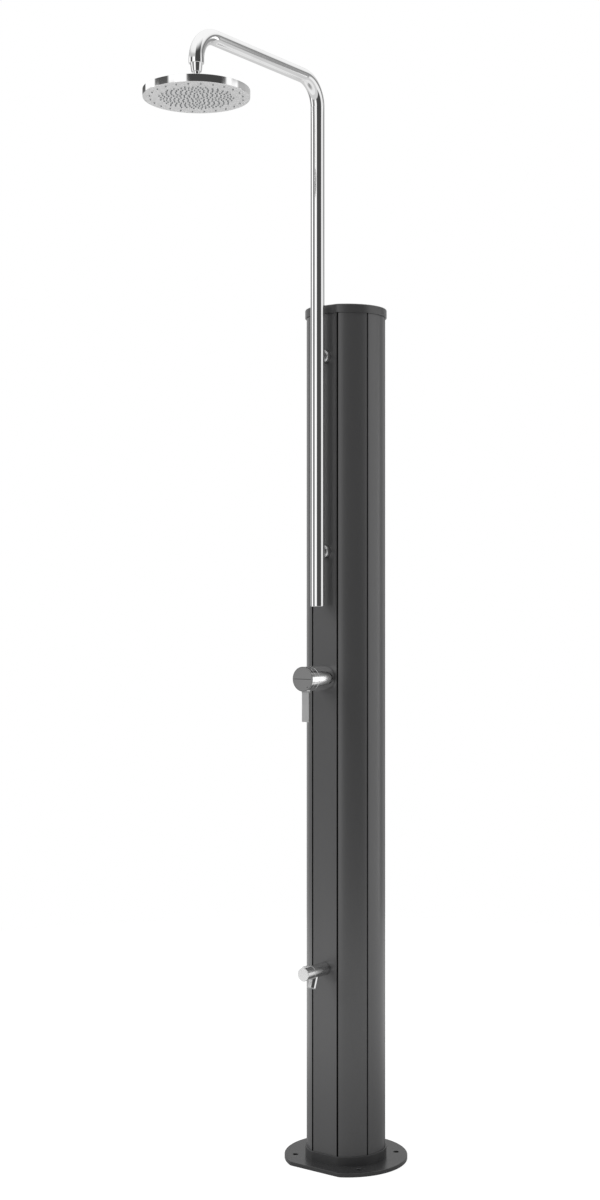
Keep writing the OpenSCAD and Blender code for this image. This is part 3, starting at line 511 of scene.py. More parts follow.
@dataclass(frozen=True)
class Moulded(Finish):
    """A moulded plastic or rubber with a fine grained skin.

    Attributes:
        skin: Grains in a metre.
        gloss: The material's refractive index.
    """

    skin: float = 900.0
    depth: float = 0.00005
    strength: float = 0.2
    gloss: float = 1.5

    def paint(self, shader: Shader) -> None:
        """Builds the finish's nodes."""
        fine = shader.cloud([self.skin] * 3, 3.0)
        broad = shader.cloud([16.0] * 3)
        rough = (fine - 0.5) * 0.12 + (broad - 0.5) * 0.08 + self.roughness
        normal = shader.bump(fine, self.strength, self.depth)
        shader.surface(self.shades(shader, 0.94, 1.06, broad), rough, normal, {"IOR": self.gloss})


@dataclass(frozen=True)
class Braid(Finish):
    """A rubber hose under a fine braid of two crossing strands."""

    strands: float = 900.0

    def paint(self, shader: Shader) -> None:
        """Builds the finish's nodes."""
        x, y, z = shader.parts()
        left, right = (((x + y + rise) * self.strands).sine() for rise in (z, z * -1.0))
        weave = left.larger(right) * 0.5 + 0.5
        colour = self.shades(shader, 0.5, 1.6, weave)
        normal = shader.bump(weave, 0.5, 0.0004)
        shader.surface(colour, self.roughness - weave * 0.15, normal, {"IOR": 1.45})


MIXER_AXIS = (0.0, -0.13, MIXER_Z)
TAP_AXIS = (0.0, -0.13, TAP_Z)
TURNING = {"grain": Grain.TURNED, "fine": 1800.0, "mark_strength": 0.05}

# The column's coat carries painted shade in its long grooves.
COLUMN_COAT = Coat(
    "column_coat", "anthracite_coat", (0.071, 0.071, 0.072), 0.30, gloss=1.8, groove_shade_half=0.0013
)
PLATE_COAT = Coat(
    "plate_coat", "anthracite_steel", (0.037, 0.037, 0.038), 0.26, peel=900.0, gloss=1.6
)
# The collar's plastic is a darker copy of the cap's, in the same slot: painted shade at the
# column's foot.
SHADED_COLLAR_PLASTIC = Moulded("collar_plastic_shaded", "cap_coat", (0.042, 0.042, 0.043), 0.36)
CAP_PLASTIC = Moulded("cap_plastic", "cap_coat", (0.060, 0.060, 0.061), 0.32, gloss=1.7)
PIPE_STEEL = Polish("pipe_steel", "polished_steel", grey(0.92), 0.05)
RIM_STEEL = Polish("rim_steel", "polished_steel", grey(0.92), 0.06)
SPOUT_STEEL = Polish("spout_steel", "polished_steel", grey(0.90), 0.06)
FOOT_STEEL = Polish("foot_steel", "polished_steel", grey(0.88), 0.28)
TURNED_STEEL = Metal("turned_steel", "brushed_steel", grey(0.92), 0.20, MIXER_AXIS, **TURNING)
DIAL_STEEL = Dial("dial_steel", "brushed_steel", grey(0.92), 0.09, MIXER_AXIS, **TURNING)
BAR_STEEL = Sided(
    "bar_steel", "brushed_steel", grey(0.90), 0.30, grain=Grain.ALONG_Z, mark_strength=0.03
)
# The tap's steel has painted shade behind its front.
TAP_STEEL = Faced("tap_steel", "brushed_steel", grey(0.95), 0.24, TAP_AXIS, **TURNING)
BRASS = Metal("turned_brass", "brass", (0.71, 0.50, 0.22), 0.28, grain=Grain.ALONG_X, uneven=0.15)
SCREW_STEEL = Metal("screw_steel", "zinc_steel", (0.62, 0.62, 0.61), 0.32, uneven=0.2)
TANK_ALUMINIUM = Metal(
    "tank_aluminium", "plain_aluminium", (0.72, 0.72, 0.73), 0.38, grain=Grain.ALONG_Z, fine=1200.0
)
SEAL_RUBBER = Moulded("seal_rubber", "black_rubber", grey(0.018), 0.62, gloss=1.4)
ACETAL = Moulded("white_acetal", "white_acetal", (0.82, 0.82, 0.79), 0.38, strength=0.08)
SCREEN_PLASTIC = Moulded("screen_plastic", "white_acetal", (0.55, 0.56, 0.56), 0.4, strength=0.08)
FACE_PLASTIC = Moulded("face_plastic", "grey_face", grey(0.93), 0.34, strength=0.1)
NOZZLE_SILICONE = Moulded(
    "nozzle_silicone", "nozzle_silicone", (0.15, 0.15, 0.152), 0.5, gloss=1.41
)
HOSE_BRAID = Braid("hose_braid", "hose_rubber", grey(0.10), 0.55)


# ---------------------------------------------------------------- meshes


def facing(height: float) -> Matrix:
    """Returns the place of a piece whose own +Z points forward, at a height on the front."""
    return Matrix.Translation((0, 0, height)) @ Matrix.Rotation(QUARTER, 4, "X")


def turned(degrees: float) -> Vector:
    """Returns a direction in plan, counted from the front towards +X."""
    angle = math.radians(degrees)
    return Vector((math.sin(angle), -math.cos(angle), 0))


def only(kind: type, parts: Sequence) -> list:
    """Returns the parts that are of one kind."""
    return [part for part in parts if isinstance(part, kind)]


def linked(name: str, data: bpy.types.ID) -> bpy.types.Object:
    """Returns a new object in the scene."""
    obj = bpy.data.objects.new(name, data)
    bpy.context.scene.collection.objects.link(obj)
    return obj


class Workpiece:
    """A mesh under construction, shaped with bmesh operators."""

    def __init__(self) -> None:
        """Starts from nothing."""
        self.bm = bmesh.new()

    def wire(self, points: Sequence[Triple], closed: bool = False) -> list[BMVert]:
        """Lays a wire through points.

        Args:
            points: The points in order.
            closed: Whether the last one joins the first.

        Returns:
            The wire's vertices.
        """
        verts = [self.bm.verts.new(point) for point in points]
        for pair in zip(verts, verts[1:] + verts[:1] if closed else verts[1:]):
            self.bm.edges.new(pair)
        return verts

    def arc(
        self, start: BMVert, centre: Triple, degrees: float, steps: int, axis: Triple = (0, 0, 1)
    ) -> BMVert:
        """Draws an arc.

        Args:
            start: The vertex that it begins at.
            centre: Its centre.
            degrees: How far it runs, counter-clockwise about the axis if positive.
            steps: Its edges.
            axis: What it turns about.

        Returns:
            The vertex at its end.
        """
        made = bmesh.ops.spin(
            self.bm, geom=[start], cent=centre, axis=axis, angle=math.radians(degrees), steps=steps
        )
        return only(BMVert, made["geom_last"])[0]

    def bevel(self, geom: Sequence, radius: float, segments: int, **options: object) -> None:
        """Rounds corners or edges."""
        bmesh.ops.bevel(
            self.bm, geom=list(geom), offset=radius, offset_type="OFFSET", segments=segments,
            profile=0.5, material=-1, **options,
        )

    def soften(self, verts: Sequence[BMVert], radius: float, segments: int = 4) -> None:
        """Rounds the corners of a wire."""
        self.bevel(verts, radius, segments, affect="VERTICES")

    def section(
        self,
        corners: Sequence[Corner],
        closed: bool = False,
        ends: Optional[tuple[BMVert, BMVert]] = None,
        segments: int = 4,
    ) -> None:
        """Draws a half section, and rounds its corners.

        Args:
            corners: Radius, height and rounding of each corner.
            closed: Whether the section is a ring that doesn't reach the axis.
            ends: What its first and its last corner join, if anything.
            segments: Edges of each rounding.
        """
        verts = self.wire([(radius, 0, height) for radius, height, _ in corners], closed)
        if ends:
            self.bm.edges.new((ends[0], verts[0]))
            self.bm.edges.new((verts[-1], ends[1]))
        for vert, (_, _, rounding) in zip(verts, corners):
            if rounding:
                self.soften([vert], rounding, segments)

    def lathe(
        self, corners: Sequence[Corner], closed: bool = False, steps: int = 96
    ) -> "Workpiece":
        """Turns a half section about Z, with so many faces round it."""
        self.section(corners, closed)
        return self.turn_wire(steps)

    def turn_wire(self, steps: int) -> "Workpiece":
        """Turns all of the wire about Z and closes what it makes."""
        wire = self.bm.verts[:] + self.bm.edges[:]
        bmesh.ops.spin(
            self.bm, geom=wire, cent=(0, 0, 0), axis=(0, 0, 1), angle=math.tau, steps=steps,
            use_merge=True,
        )
        self.close_seams()
        return self

    def close_seams(self) -> None:
        """Merges doubles and points all faces outwards."""
        bmesh.ops.remove_doubles(self.bm, verts=self.bm.verts[:], dist=MERGE)
        self.face_out()

    def face_out(self) -> None:
        """Points all faces outwards."""
        bmesh.ops.recalc_face_normals(self.bm, faces=self.bm.faces[:])

    def extrude(self, faces: Sequence[BMFace], way: Triple) -> list[BMFace]:
        """Extrudes faces.

        Args:
            faces: The faces.
            way: How far and which way.

        Returns:
            The faces at the far end.
        """
        made = bmesh.ops.extrude_face_region(self.bm, geom=faces)["geom"]
        bmesh.ops.translate(self.bm, vec=way, verts=only(BMVert, made))
        return only(BMFace, made)

    def raise_faces(self, height: float) -> None:
        """Extrudes all faces upwards."""
        self.extrude(self.bm.faces[:], (0, 0, height))
        self.face_out()

    def thicken(self, height: float, holes: bool = False) -> None:
        """Fills the outline and extrudes it upwards.

        Args:
            height: How far it is extruded.
            holes: Whether there are smaller outlines in it, which stay open.
        """
        edges = self.bm.edges[:]
        if holes:
            bmesh.ops.triangle_fill(self.bm, use_beauty=True, use_dissolve=False, edges=edges)
        else:
            bmesh.ops.contextual_create(self.bm, geom=edges)
        self.raise_faces(height)

    def level_edges(self, height: float) -> list[BMEdge]:
        """Returns the edges that lie at one height."""
        return [
            edge
            for edge in self.bm.edges
            if all(abs(vert.co.z - height) < MERGE for vert in edge.verts)
        ]

    def bevel_level(self, height: float, radius: float, segments: int = 4) -> None:
        """Rounds the outer edges that lie at one height.

        Args:
            height: The height.
            radius: The rounding's radius.
            segments: Its faces.
        """
        edges = [
            edge
            for edge in self.level_edges(height)
            if len(edge.link_faces) == 2 and edge.calc_face_angle(0.0) > math.radians(40)
        ]
        self.bevel(edges, radius, segments, affect="EDGES", clamp_overlap=True)

    def place(self, matrix: Matrix) -> "Workpiece":
        """Moves and turns the whole mesh."""
        bmesh.ops.transform(self.bm, matrix=matrix, verts=self.bm.verts[:])
        return self

    def move(self, x: float, y: float, z: float) -> "Workpiece":
        """Moves the whole mesh."""
        return self.place(Matrix.Translation((x, y, z)))

    def ring(self, radius: float, segments: int, centre: Triple = (0, 0, 0)) -> None:
        """Adds an open circle in plan."""
        place = Matrix.Translation(centre)
        bmesh.ops.create_circle(
            self.bm, cap_ends=False, segments=segments, radius=radius, matrix=place
        )

    def rod(
        self, radius: float, low: float, high: float, top: Optional[float] = None, steps: int = 48
    ) -> "Workpiece":
        """Adds a rod about Z.

        Args:
            radius: Its radius.
            low: Height of its lower end.
            high: Height of its upper end.
            top: Its radius at the upper end, if that differs.
            steps: Faces round it.

        Returns:
            This workpiece.
        """
        bmesh.ops.create_cone(
            self.bm, cap_ends=True, segments=steps, radius1=radius,
            radius2=radius if top is None else top, depth=high - low,
            matrix=Matrix.Translation((0, 0, (low + high) / 2)),
        )
        return self

    def mesh(self, name: str) -> bpy.types.Mesh:
        """Returns a mesh of what was made."""
        made = bpy.data.meshes.new(name)
        self.bm.to_mesh(made)
        return made

    def join(self, other: "Workpiece") -> "Workpiece":
        """Adds another workpiece's mesh to this one."""
        made = other.mesh("joined")
        self.bm.from_mesh(made)
        bpy.data.meshes.remove(made)
        return self

    def combine(self, other: "Workpiece", operation: str = "DIFFERENCE") -> "Workpiece":
        """Cuts another workpiece out of this one, or unites the two.

        Args:
            other: The other workpiece.
            operation: The Boolean modifier's operation.

        Returns:
            This workpiece.
        """
        pair = [linked(name, work.mesh(name)) for name, work in (("a", self), ("b", other))]
        modifier = pair[0].modifiers.new("combine", "BOOLEAN")
        modifier.object = pair[1]
        modifier.operation = operation
        modifier.solver = "EXACT"
        bpy.context.view_layer.update()
        depsgraph = bpy.context.evaluated_depsgraph_get()
        made = bpy.data.meshes.new_from_object(pair[0].evaluated_get(depsgraph))
        self.bm.clear()
        self.bm.from_mesh(made)
        bpy.data.meshes.remove(made)
        for obj in pair:
            mesh = obj.data
            bpy.data.objects.remove(obj)
            bpy.data.meshes.remove(mesh)
        return self

    def finished(self, name: str, finish: Finish, node: str, body: Body = Body.POST) -> None:
        """Makes the piece's object.

        Args:
            name: The piece's name.
            finish: What it is made of.
            node: The CAD node that it stands for.
            body: What it moves with.
        """
        mesh = self.mesh(name)
        self.bm.free()
        mesh.shade_smooth()
        mesh.set_sharp_from_angle(angle=SHARP)
        mesh.materials.append(finish.material())
        obj = linked(name, mesh)
        obj.modifiers.new("normals", "WEIGHTED_NORMAL").keep_sharp = True
        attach(obj, body.value)
        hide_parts(node)
        LOG.info("%s: %d faces", name, len(mesh.polygons))


def puck(
    radius: float, low: float, high: float, edges: Point = (0.0, 0.0), steps: int = 96
) -> Workpiece:
    """Turns a disc about Z.

    Args:
        radius: Its radius.
        low: Height of its underside.
        high: Height of its top.
        edges: Rounding of its lower and of its upper edge.
        steps: Faces round it.

    Returns:
        The disc.
    """
    below, above = edges
    corners = [(0.0, low, 0.0), (radius, low, below), (radius, high, above), (0.0, high, 0.0)]
    return Workpiece().lathe(corners, steps=steps)


def stepped(*rods: Sequence[float], steps: int = 48) -> Workpiece:
    """Unites rods about Z.

    Args:
        rods: Radius, low end and high end of each, and its radius at the top if that differs.
        steps: Faces round each.

    Returns:
        One cutter.
    """
    cutter, *others = (Workpiece().rod(*rod, steps=steps) for rod in rods)
    for other in others:
        cutter.combine(other, "UNION")
    return cutter


def screw_holes(*rods: Sequence[float]) -> Workpiece:
    """Returns cutters of such rods for the four screws in the column's screw ports."""
    holes = Workpiece()
    for angle in PORTS:
        holes.join(stepped(*rods, steps=32).move(*(turned(angle) * PORT_AT)))
    return holes


def drilled(radius: float, low: float, high: float, height: float, steps: int = 48) -> Workpiece:
    """Returns a rod that points forward at a height, between two distances from the axis."""
    return Workpiece().rod(radius, low, high, steps=steps).place(facing(height))


def flat_front(
    work: Workpiece, radius: float, flat: float, corner: float, steps: int = 120
) -> None:
    """Draws a circle in plan with a straight front.

    Args:
        work: The workpiece to draw on.
        radius: The circle's radius.
        flat: Distance of the straight front from the axis.
        corner: Rounding of its two corners.
        steps: Edges round the circle.
    """
    half = math.degrees(math.acos(flat / radius))
    first = work.bm.verts.new(turned(half) * radius)
    last = work.arc(first, (0, 0, 0), 360 - 2 * half, steps)
    work.bm.edges.new((last, first))
    if corner:
        work.soften([first, last], corner, 5)


@dataclass
class Rib:
    """A notch or a boss of the column's section, in plan.

    Attributes:
        angle: Its direction in degrees, from the front towards +X.
        half: Half its width.
        depth: Distance of its bottom from the axis.
        mouth: Rounding of its two outer corners.
        bottom: Rounding of its two inner corners.
    """

    angle: float
    half: float
    depth: float
    mouth: float
    bottom: float



@dataclass
class Base:
    """The round plate on the ground, with its straight front edge, and the collar on it."""

    radius: float = 0.125
    front: float = 0.110
    corner: float = 0.004
    edge: float = 0.0009
    hole: float = 0.0055
    hole_x: float = 0.078
    hole_y: float = 0.067
    collar_height: float = 0.018
    collar_proud: float = 0.0026
    collar_fit: float = 0.0002
    collar_corner: float = 0.0015
    collar_edge: float = 0.0012

    def build(self) -> None:
        """Makes the plate and the collar."""
        self._plate()
        self._collar()

    def _plate(self) -> None:
        """Makes the plate, with its holes for anchors and screws."""
        plate = Workpiece()
        flat_front(plate, self.radius, self.front, self.corner, 144)
        plate.thicken(PLATE_TOP)
        plate.bevel_level(PLATE_TOP, self.edge)
        plate.bevel_level(0.0, self.edge / 2, 2)
        holes = Workpiece()
        drill = (self.hole, -PAST, PLATE_TOP + PAST)
        mouth = (self.hole, PLATE_TOP - 0.0006, PLATE_TOP + 0.0004, self.hole + 0.001)
        for x in (-self.hole_x, self.hole_x):
            for y in (-self.hole_y, self.hole_y):
                holes.join(stepped(drill, mouth).move(x, y, 0))
        sink = (SCREW_HEAD, 0.0003, 0.0029, SCREW)
        rim = (SCREW_HEAD, -PAST, 0.0003)
        holes.join(screw_holes((SCREW, -PAST, PLATE_TOP + PAST), sink, rim))
        plate.combine(holes)
        plate.finished("plate", PLATE_COAT, "base_plate")

    def _collar(self) -> None:
        """Makes the collar round the column's foot."""
        collar = Workpiece()
        for gap in (self.collar_proud, self.collar_fit):
            flat_front(collar, COLUMN_RADIUS + gap, COLUMN_FLAT + gap, self.collar_corner)
        bmesh.ops.bridge_loops(collar.bm, edges=collar.bm.edges[:])
        collar.raise_faces(self.collar_height)
        edges = [
            edge
            for edge in collar.level_edges(self.collar_height)
            if not any(self._inside(vert.co) for vert in edge.verts)
        ]
        collar.bevel(edges, self.collar_edge, 4, affect="EDGES")
        collar.move(0, 0, PLATE_TOP)
        collar.finished("foot_collar", SHADED_COLLAR_PLASTIC, "base_collar")

    def _inside(self, point: Vector) -> bool:
        """Returns whether a point lies on the collar's inner outline."""
        gap = self.collar_fit + 1e-5
        return point.xy.length < COLUMN_RADIUS + gap and point.y > -(COLUMN_FLAT + gap)


@dataclass
class Column:
    """The extruded column, with its long grooves, and the cap on it."""

    wall: float = 0.0025
    top: float = 1.719
    groove_half: float = 0.0016
    groove_depth: float = 0.0036
    groove_edge: float = 0.0005
    rib: float = 0.002
    port_radius: float = 0.0043
    port_bore: float = 0.00255
    cap_top: float = 1.725
    cap_height: float = 0.017
    cap_proud: float = 0.003
    cap_edge: float = 0.0025
    cap_lip: float = 0.0005
    cap_wall: float = 0.0028
    cap_thickness: float = 0.004

    def build(self) -> None:
        """Makes the column's skin and the cap."""
        self._skin()
        self._cap()

    def _outline(self, work: Workpiece, radius: float, flat: float, ribs: Sequence[Rib]) -> None:
        """Draws one closed outline of the section, round with a flat front and notches.

        Args:
            work: The workpiece to draw on.
            radius: The circle's radius.
            flat: Distance of the flat front from the axis.
            ribs: The notches, by rising angle, of which the first and the last end the flat.
        """
        softened: list[tuple[BMVert, float]] = []
        chain: list[BMVert] = []
        for number, rib in enumerate(ribs):
            out, side = turned(rib.angle), turned(rib.angle + 90)
            lean = math.radians(22.5)
            at_flat = (flat - rib.half * math.sin(lean)) / math.cos(lean)
            at_round = math.sqrt(radius**2 - rib.half**2)
            mouth_in = at_flat if number == 0 else at_round
            mouth_out = at_flat if number == len(ribs) - 1 else at_round
            corners = work.wire(
                [
                    out * mouth_in - side * rib.half,
                    out * rib.depth - side * rib.half,
                    out * rib.depth + side * rib.half,
                    out * mouth_out + side * rib.half,
                ]
            )
            softened += list(zip(corners, (rib.mouth, rib.bottom, rib.bottom, rib.mouth)))
            chain.append(corners[0])
            if number < len(ribs) - 1:
                following = ribs[number + 1]
                halves = math.asin(rib.half / radius) + math.asin(following.half / radius)
                sweep = following.angle - rib.angle - math.degrees(halves)
                chain.append(work.arc(corners[3], (0, 0, 0), sweep, max(3, round(sweep / 3))))
            else:
                work.bm.edges.new((corners[3], chain[0]))
        for end, start in zip(chain[1::2], chain[2::2]):
            bmesh.ops.pointmerge(work.bm, verts=[end, start], merge_co=start.co)
        for vert, rounding in softened:
            if vert.is_valid and rounding:
                work.soften([vert], rounding)

    def _skin(self) -> None:
        """Makes the extruded column with its bores."""
        depth = COLUMN_RADIUS - self.groove_depth
        half, behind = self.groove_half + self.rib, depth - self.rib
        port = self.port_radius
        angles = [(number + 0.5) * 360 / GROOVES for number in range(GROOVES)]
        grooves = [Rib(turn, self.groove_half, depth, self.groove_edge, 0.0004) for turn in angles]
        inner = [Rib(turn, half, behind, 0.0005, 0.0008) for turn in angles]
        inner += [Rib(turn, port, PORT_AT - port, 0.0006, 0.003) for turn in PORTS]
        inner.sort(key=lambda rib: rib.angle)
        skin = Workpiece()
        self._outline(skin, COLUMN_RADIUS, COLUMN_FLAT, grooves)
        self._outline(skin, COLUMN_RADIUS - self.wall, COLUMN_FLAT - self.wall, inner)
        for turn in PORTS:
            skin.ring(self.port_bore, 24, turned(turn) * PORT_AT)
        skin.thicken(self.top - PLATE_TOP, holes=True)
        skin.move(0, 0, PLATE_TOP)
        bores = Workpiece()
        for radius, height in zip((0.0167, 0.0102, 0.0072, 0.0072), (MIXER_Z, TAP_Z, *FEET_Z)):
            bores.join(drilled(radius, COLUMN_FLAT - 0.004, COLUMN_FLAT + 0.004, height))
        bores.join(drilled(0.01068, -0.086, -0.0690, 0.090))
        skin.combine(bores)
        skin.finished("column_skin", COLUMN_COAT, "column_profile")

    def _cap(self) -> None:
        """Makes the cap with its skirt and its sunk screw holes."""
        cap = Workpiece()
        proud = self.cap_proud
        flat_front(cap, COLUMN_RADIUS + proud, COLUMN_FLAT + proud, self.cap_edge)
        cap.thicken(self.cap_height)
        cap.bevel_level(self.cap_height, self.cap_edge, 5)
        cap.bevel_level(0.0, self.cap_lip, 2)
        floor = [face for face in cap.bm.faces if face.normal.z < -0.99 and face.calc_area() > 0.01]
        thickness = self.cap_wall - self.cap_lip
        bmesh.ops.inset_region(cap.bm, faces=floor, thickness=thickness, use_even_offset=True)
        cap.extrude(floor, (0, 0, self.cap_height - self.cap_thickness))
        bmesh.ops.delete(cap.bm, geom=floor, context="FACES_ONLY")
        cap.face_out()
        cap.move(0, 0, self.cap_top - self.cap_height)
        top, rim = self.cap_top + PAST, self.cap_top - 0.0003
        sink = (SCREW, self.cap_top - 0.0029, rim, SCREW_HEAD)
        cap.combine(screw_holes((SCREW, self.cap_top - 0.006, top), sink, (SCREW_HEAD, rim, top)))
        cap.finished("cap", CAP_PLASTIC, "top_cap")


@dataclass
class Riser:
    """The bent pipe: riser, arm and short drop, in one tube."""

    radius: float = 0.014
    bore: float = 0.0125
    reach: float = 0.375
    low: float = 1.124
    arm: float = 2.167
    bend: float = 0.052
    end: float = 2.107
    spigot: float = 0.00505

    def build(self) -> None:
        """Makes the pipe."""
        pipe = Workpiece()
        for radius in (self.radius, self.bore):
            pipe.ring(radius, 96, (0, -RISER_AT, self.low))
        bmesh.ops.bridge_loops(pipe.bm, edges=pipe.bm.edges[:])
        bends_at = self.arm - self.bend
        face = pipe.extrude(pipe.bm.faces[:], (0, 0, bends_at - self.low))
        face = self._turn(pipe, face, (0, -RISER_AT - self.bend, bends_at))
        face = pipe.extrude(face, (0, 2 * self.bend - self.reach, 0))
        face = self._turn(pipe, face, (0, self.bend - RISER_AT - self.reach, bends_at))
        pipe.extrude(face, (0, 0, self.end - bends_at))
        pipe.close_seams()
        holes = Workpiece()
        for height in FEET_Z:
            holes.join(drilled(self.spigot, COLUMN_RADIUS, RISER_AT, height))
        pipe.combine(holes)
        pipe.finished("riser_tube", PIPE_STEEL, "riser_pipe")

    @staticmethod
    def _turn(pipe: Workpiece, faces: Sequence[BMFace], centre: Triple) -> list[BMFace]:
        """Bends the pipe's open end forward by a quarter turn.

        Args:
            pipe: The pipe.
            faces: The faces of its open end.
            centre: What it bends round.

        Returns:
            The faces of its new end.
        """
        made = bmesh.ops.spin(
            pipe.bm, geom=faces, cent=centre, axis=(1, 0, 0), angle=QUARTER, steps=32
        )
        return only(BMFace, made["geom_last"])


@dataclass
class Standoffs:
    """The two feet that hold the riser off the column."""

    at: float = 0.0749
    radius: float = 0.0134
    front: float = 0.0829
    neck: float = 0.0115
    shank: float = 0.007
    riser: float = 0.01405
    spigot: float = 0.005
    grub: float = 0.0013
    grub_at: float = 0.08455

    def build(self) -> None:
        """Makes both feet."""
        self._foot("foot_low", "standoff_lower", FEET_Z[0], 0.019, 0.0035)
        self._foot("foot_high", "standoff_upper", FEET_Z[1], 0.011, 0.0)

    def _foot(self, name: str, node: str, height: float, shank: float, way: float) -> None:
        """Makes one foot.

        Args:
            name: Its name.
            node: The CAD node that it stands for.
            height: Its height on the column.
            shank: Length of its shank through the front panel.
            way: Radius of its waterway, or 0.
        """
        back = self.at - shank
        corners = [
            (0.0, back, 0.0), (self.shank, back, 0.0006), (self.shank, self.at, 0.0),
            (self.radius, self.at, 0.0003), (self.radius, self.front, 0.0017),
            (self.neck, self.front, 0.0005), (self.neck, RISER_AT, 0.0), (0.0, RISER_AT, 0.0),
        ]
        foot = Workpiece().lathe(corners, steps=72).place(facing(height))
        riser = Workpiece().rod(self.riser, -0.02, 0.02, steps=96)
        foot.combine(riser.move(0, -RISER_AT, height))
        foot.combine(drilled(self.spigot, self.front, RISER_AT - 0.0105, height, 32), "UNION")
        hole = Workpiece().rod(self.grub, self.neck - 0.0052, self.neck + PAST, steps=24)
        hole.place(Matrix.Rotation(QUARTER, 4, "Y")).move(0, -self.grub_at, height)
        if way:
            hole.join(drilled(way, 0.05, RISER_AT, height, 32))
        foot.combine(hole)
        foot.finished(name, FOOT_STEEL, node)


@dataclass
class Head:
    """The shower head: its ball joint, its thin polished shell, its face and its nozzles."""

    at: float = 0.4739
    low: float = 2.0447
    ball_z: float = 2.073
    ball: float = 0.010
    way: float = 0.0035
    radius: float = 0.0975
    height: float = 0.014
    mat: float = 0.0930
    hole: float = 0.0016
    outer_row: float = 0.87
    inner_field: float = 0.70
    inner_nozzles: int = 200
    inner_turn: float = 137.51

    def build(self) -> None:
        """Makes the stud, the nut, the shell, the face and the nozzles."""
        self._stud()
        self._nut()
        self._shell()
        self._face()
        self._nozzles()

    def _jointed(
        self, start: Point, degrees: float, steps: int, corners: Sequence[Corner]
    ) -> Workpiece:
        """Turns a piece whose half section follows the ball and then runs through corners.

        Args:
            start: Radius and height at which it begins, from the ball's centre.
            degrees: How far it follows the ball.
            steps: Edges on that way.
            corners: Radius, height and rounding of each corner after it.

        Returns:
            The piece in its place.
        """
        piece = Workpiece()
        first = piece.bm.verts.new((start[0], 0, start[1]))
        last = piece.arc(first, (0, 0, 0), degrees, steps, (0, -1, 0))
        piece.section(corners, ends=(last, first), segments=3)
        return piece.turn_wire(96).move(0, -self.at, self.ball_z)

    def _stud(self) -> None:
        """Makes the sleeve, neck and ball under the arm's end, as one turned piece."""
        neck, mouth, sleeve, top = 0.0065, 0.01125, 0.01245, 0.0420
        start, stop = (math.degrees(math.asin(radius / self.ball)) for radius in (self.way, neck))
        low = -self.ball * math.cos(math.radians(start))
        corners = [
            (neck, 0.0180, 0.0), (neck, 0.0186, 0.0003), (0.0095, 0.0186, 0.0005),
            (mouth, 0.0335, 0.0004), (mouth, 0.0340, 0.0), (sleeve, 0.0340, 0.0),
            (sleeve, top, 0.0004), (self.way, top, 0.0),
        ]
        stud = self._jointed((self.way, low), 180 - start - stop, 24, corners)
        stud.finished("stud", RIM_STEEL, "swivel_stud")

    def _nut(self) -> None:
        """Makes the nut that holds the ball."""
        cavity, lip, rim, waist, low = 0.01185, 0.0096, 0.0140, 0.0136, -0.0140
        lip_z = math.sqrt(cavity**2 - lip**2)
        corners = [
            (lip, lip_z + 0.0003, 0.0), (0.0106, 0.0100, 0.0003), (rim, 0.0100, 0.0010),
            (rim, 0.0022, 0.0003), (waist, 0.0019, 0.0002), (waist, 0.0009, 0.0002),
            (rim, 0.0006, 0.0003), (rim, low, 0.0008), (cavity, low, 0.0002),
        ]
        nut = self._jointed((cavity, 0), math.degrees(math.asin(lip_z / cavity)), 8, corners)
        nut.finished("ball_nut", RIM_STEEL, "swivel_nut", Body.NUT)

    def _shell(self) -> None:
        """Makes the thin shell with the hub on its back."""
        inside, skin = self.radius - 0.002, self.height - 0.0018
        hub, hub_top = 0.01165, 0.0193
        corners = [
            (self.way, skin, 0.0), (self.way, 0.0186, 0.0), (0.0050, hub_top, 0.0),
            (hub, hub_top, 0.0004), (hub, self.height, 0.0), (self.radius, self.height, 0.0006),
            (self.radius, 0.0, 0.0006), (inside, 0.0, 0.0003), (inside, skin, 0.0),
        ]
        shell = Workpiece().lathe(corners, closed=True, steps=192)
        self._finish(shell, 0.0, "head_disc", RIM_STEEL, "head_shell")

    def _finish(self, piece: Workpiece, rise: float, name: str, finish: Finish, node: str) -> None:
        """Puts a piece on the head's axis, so far above the head's underside, and finishes it."""
        piece.move(0, -self.at, self.low + rise)
        piece.finished(name, finish, node, Body.HEAD)

    def _nozzle_places(self) -> list[Point]:
        """Returns the nozzles' places: an outer row, then a field of evenly scattered ones."""
        polar = [(self.radius * self.outer_row, number * 15.0) for number in range(24)]
        for number in range(self.inner_nozzles):
            out = math.sqrt((number + 0.5) / self.inner_nozzles)
            polar.append((self.radius * self.inner_field * out, number * self.inner_turn))
        turns = ((out, math.radians(turn)) for out, turn in polar)
        return [(out * math.cos(turn), out * math.sin(turn)) for out, turn in turns]

    def _face(self) -> None:
        """Makes the face with a hole for each nozzle."""
        face = Workpiece()
        face.ring(self.radius - 0.0021, 192)
        for x, y in self._nozzle_places():
            face.ring(self.hole, 12, (x, y, 0))
        face.thicken(0.0025, holes=True)
        self._finish(face, 0.0003, "head_plate", FACE_PLASTIC, "head_face")

    def _nozzles(self) -> None:
        """Makes the soft mat behind the face, with a small hollow nozzle through each hole."""
        mat = puck(self.mat, 0.0028, 0.0043, steps=64)
        corners = [
            (0.0, 0.0004), (0.00045, 0.0002), (0.0005, -0.0015),
            (0.0010, -0.0016), (0.00125, -0.0013), (0.00152, 0.0029),
        ]
        nozzle = Workpiece().lathe([(*corner, 0.0) for corner in corners], steps=10)
        pattern = nozzle.mesh("nozzle_pattern")
        for x, y in self._nozzle_places():
            copy = Workpiece()
            copy.bm.from_mesh(pattern)
            mat.join(copy.move(x, y, 0))
        self._finish(mat, 0.0, "nozzles", NOZZLE_SILICONE, "nozzle_mat")


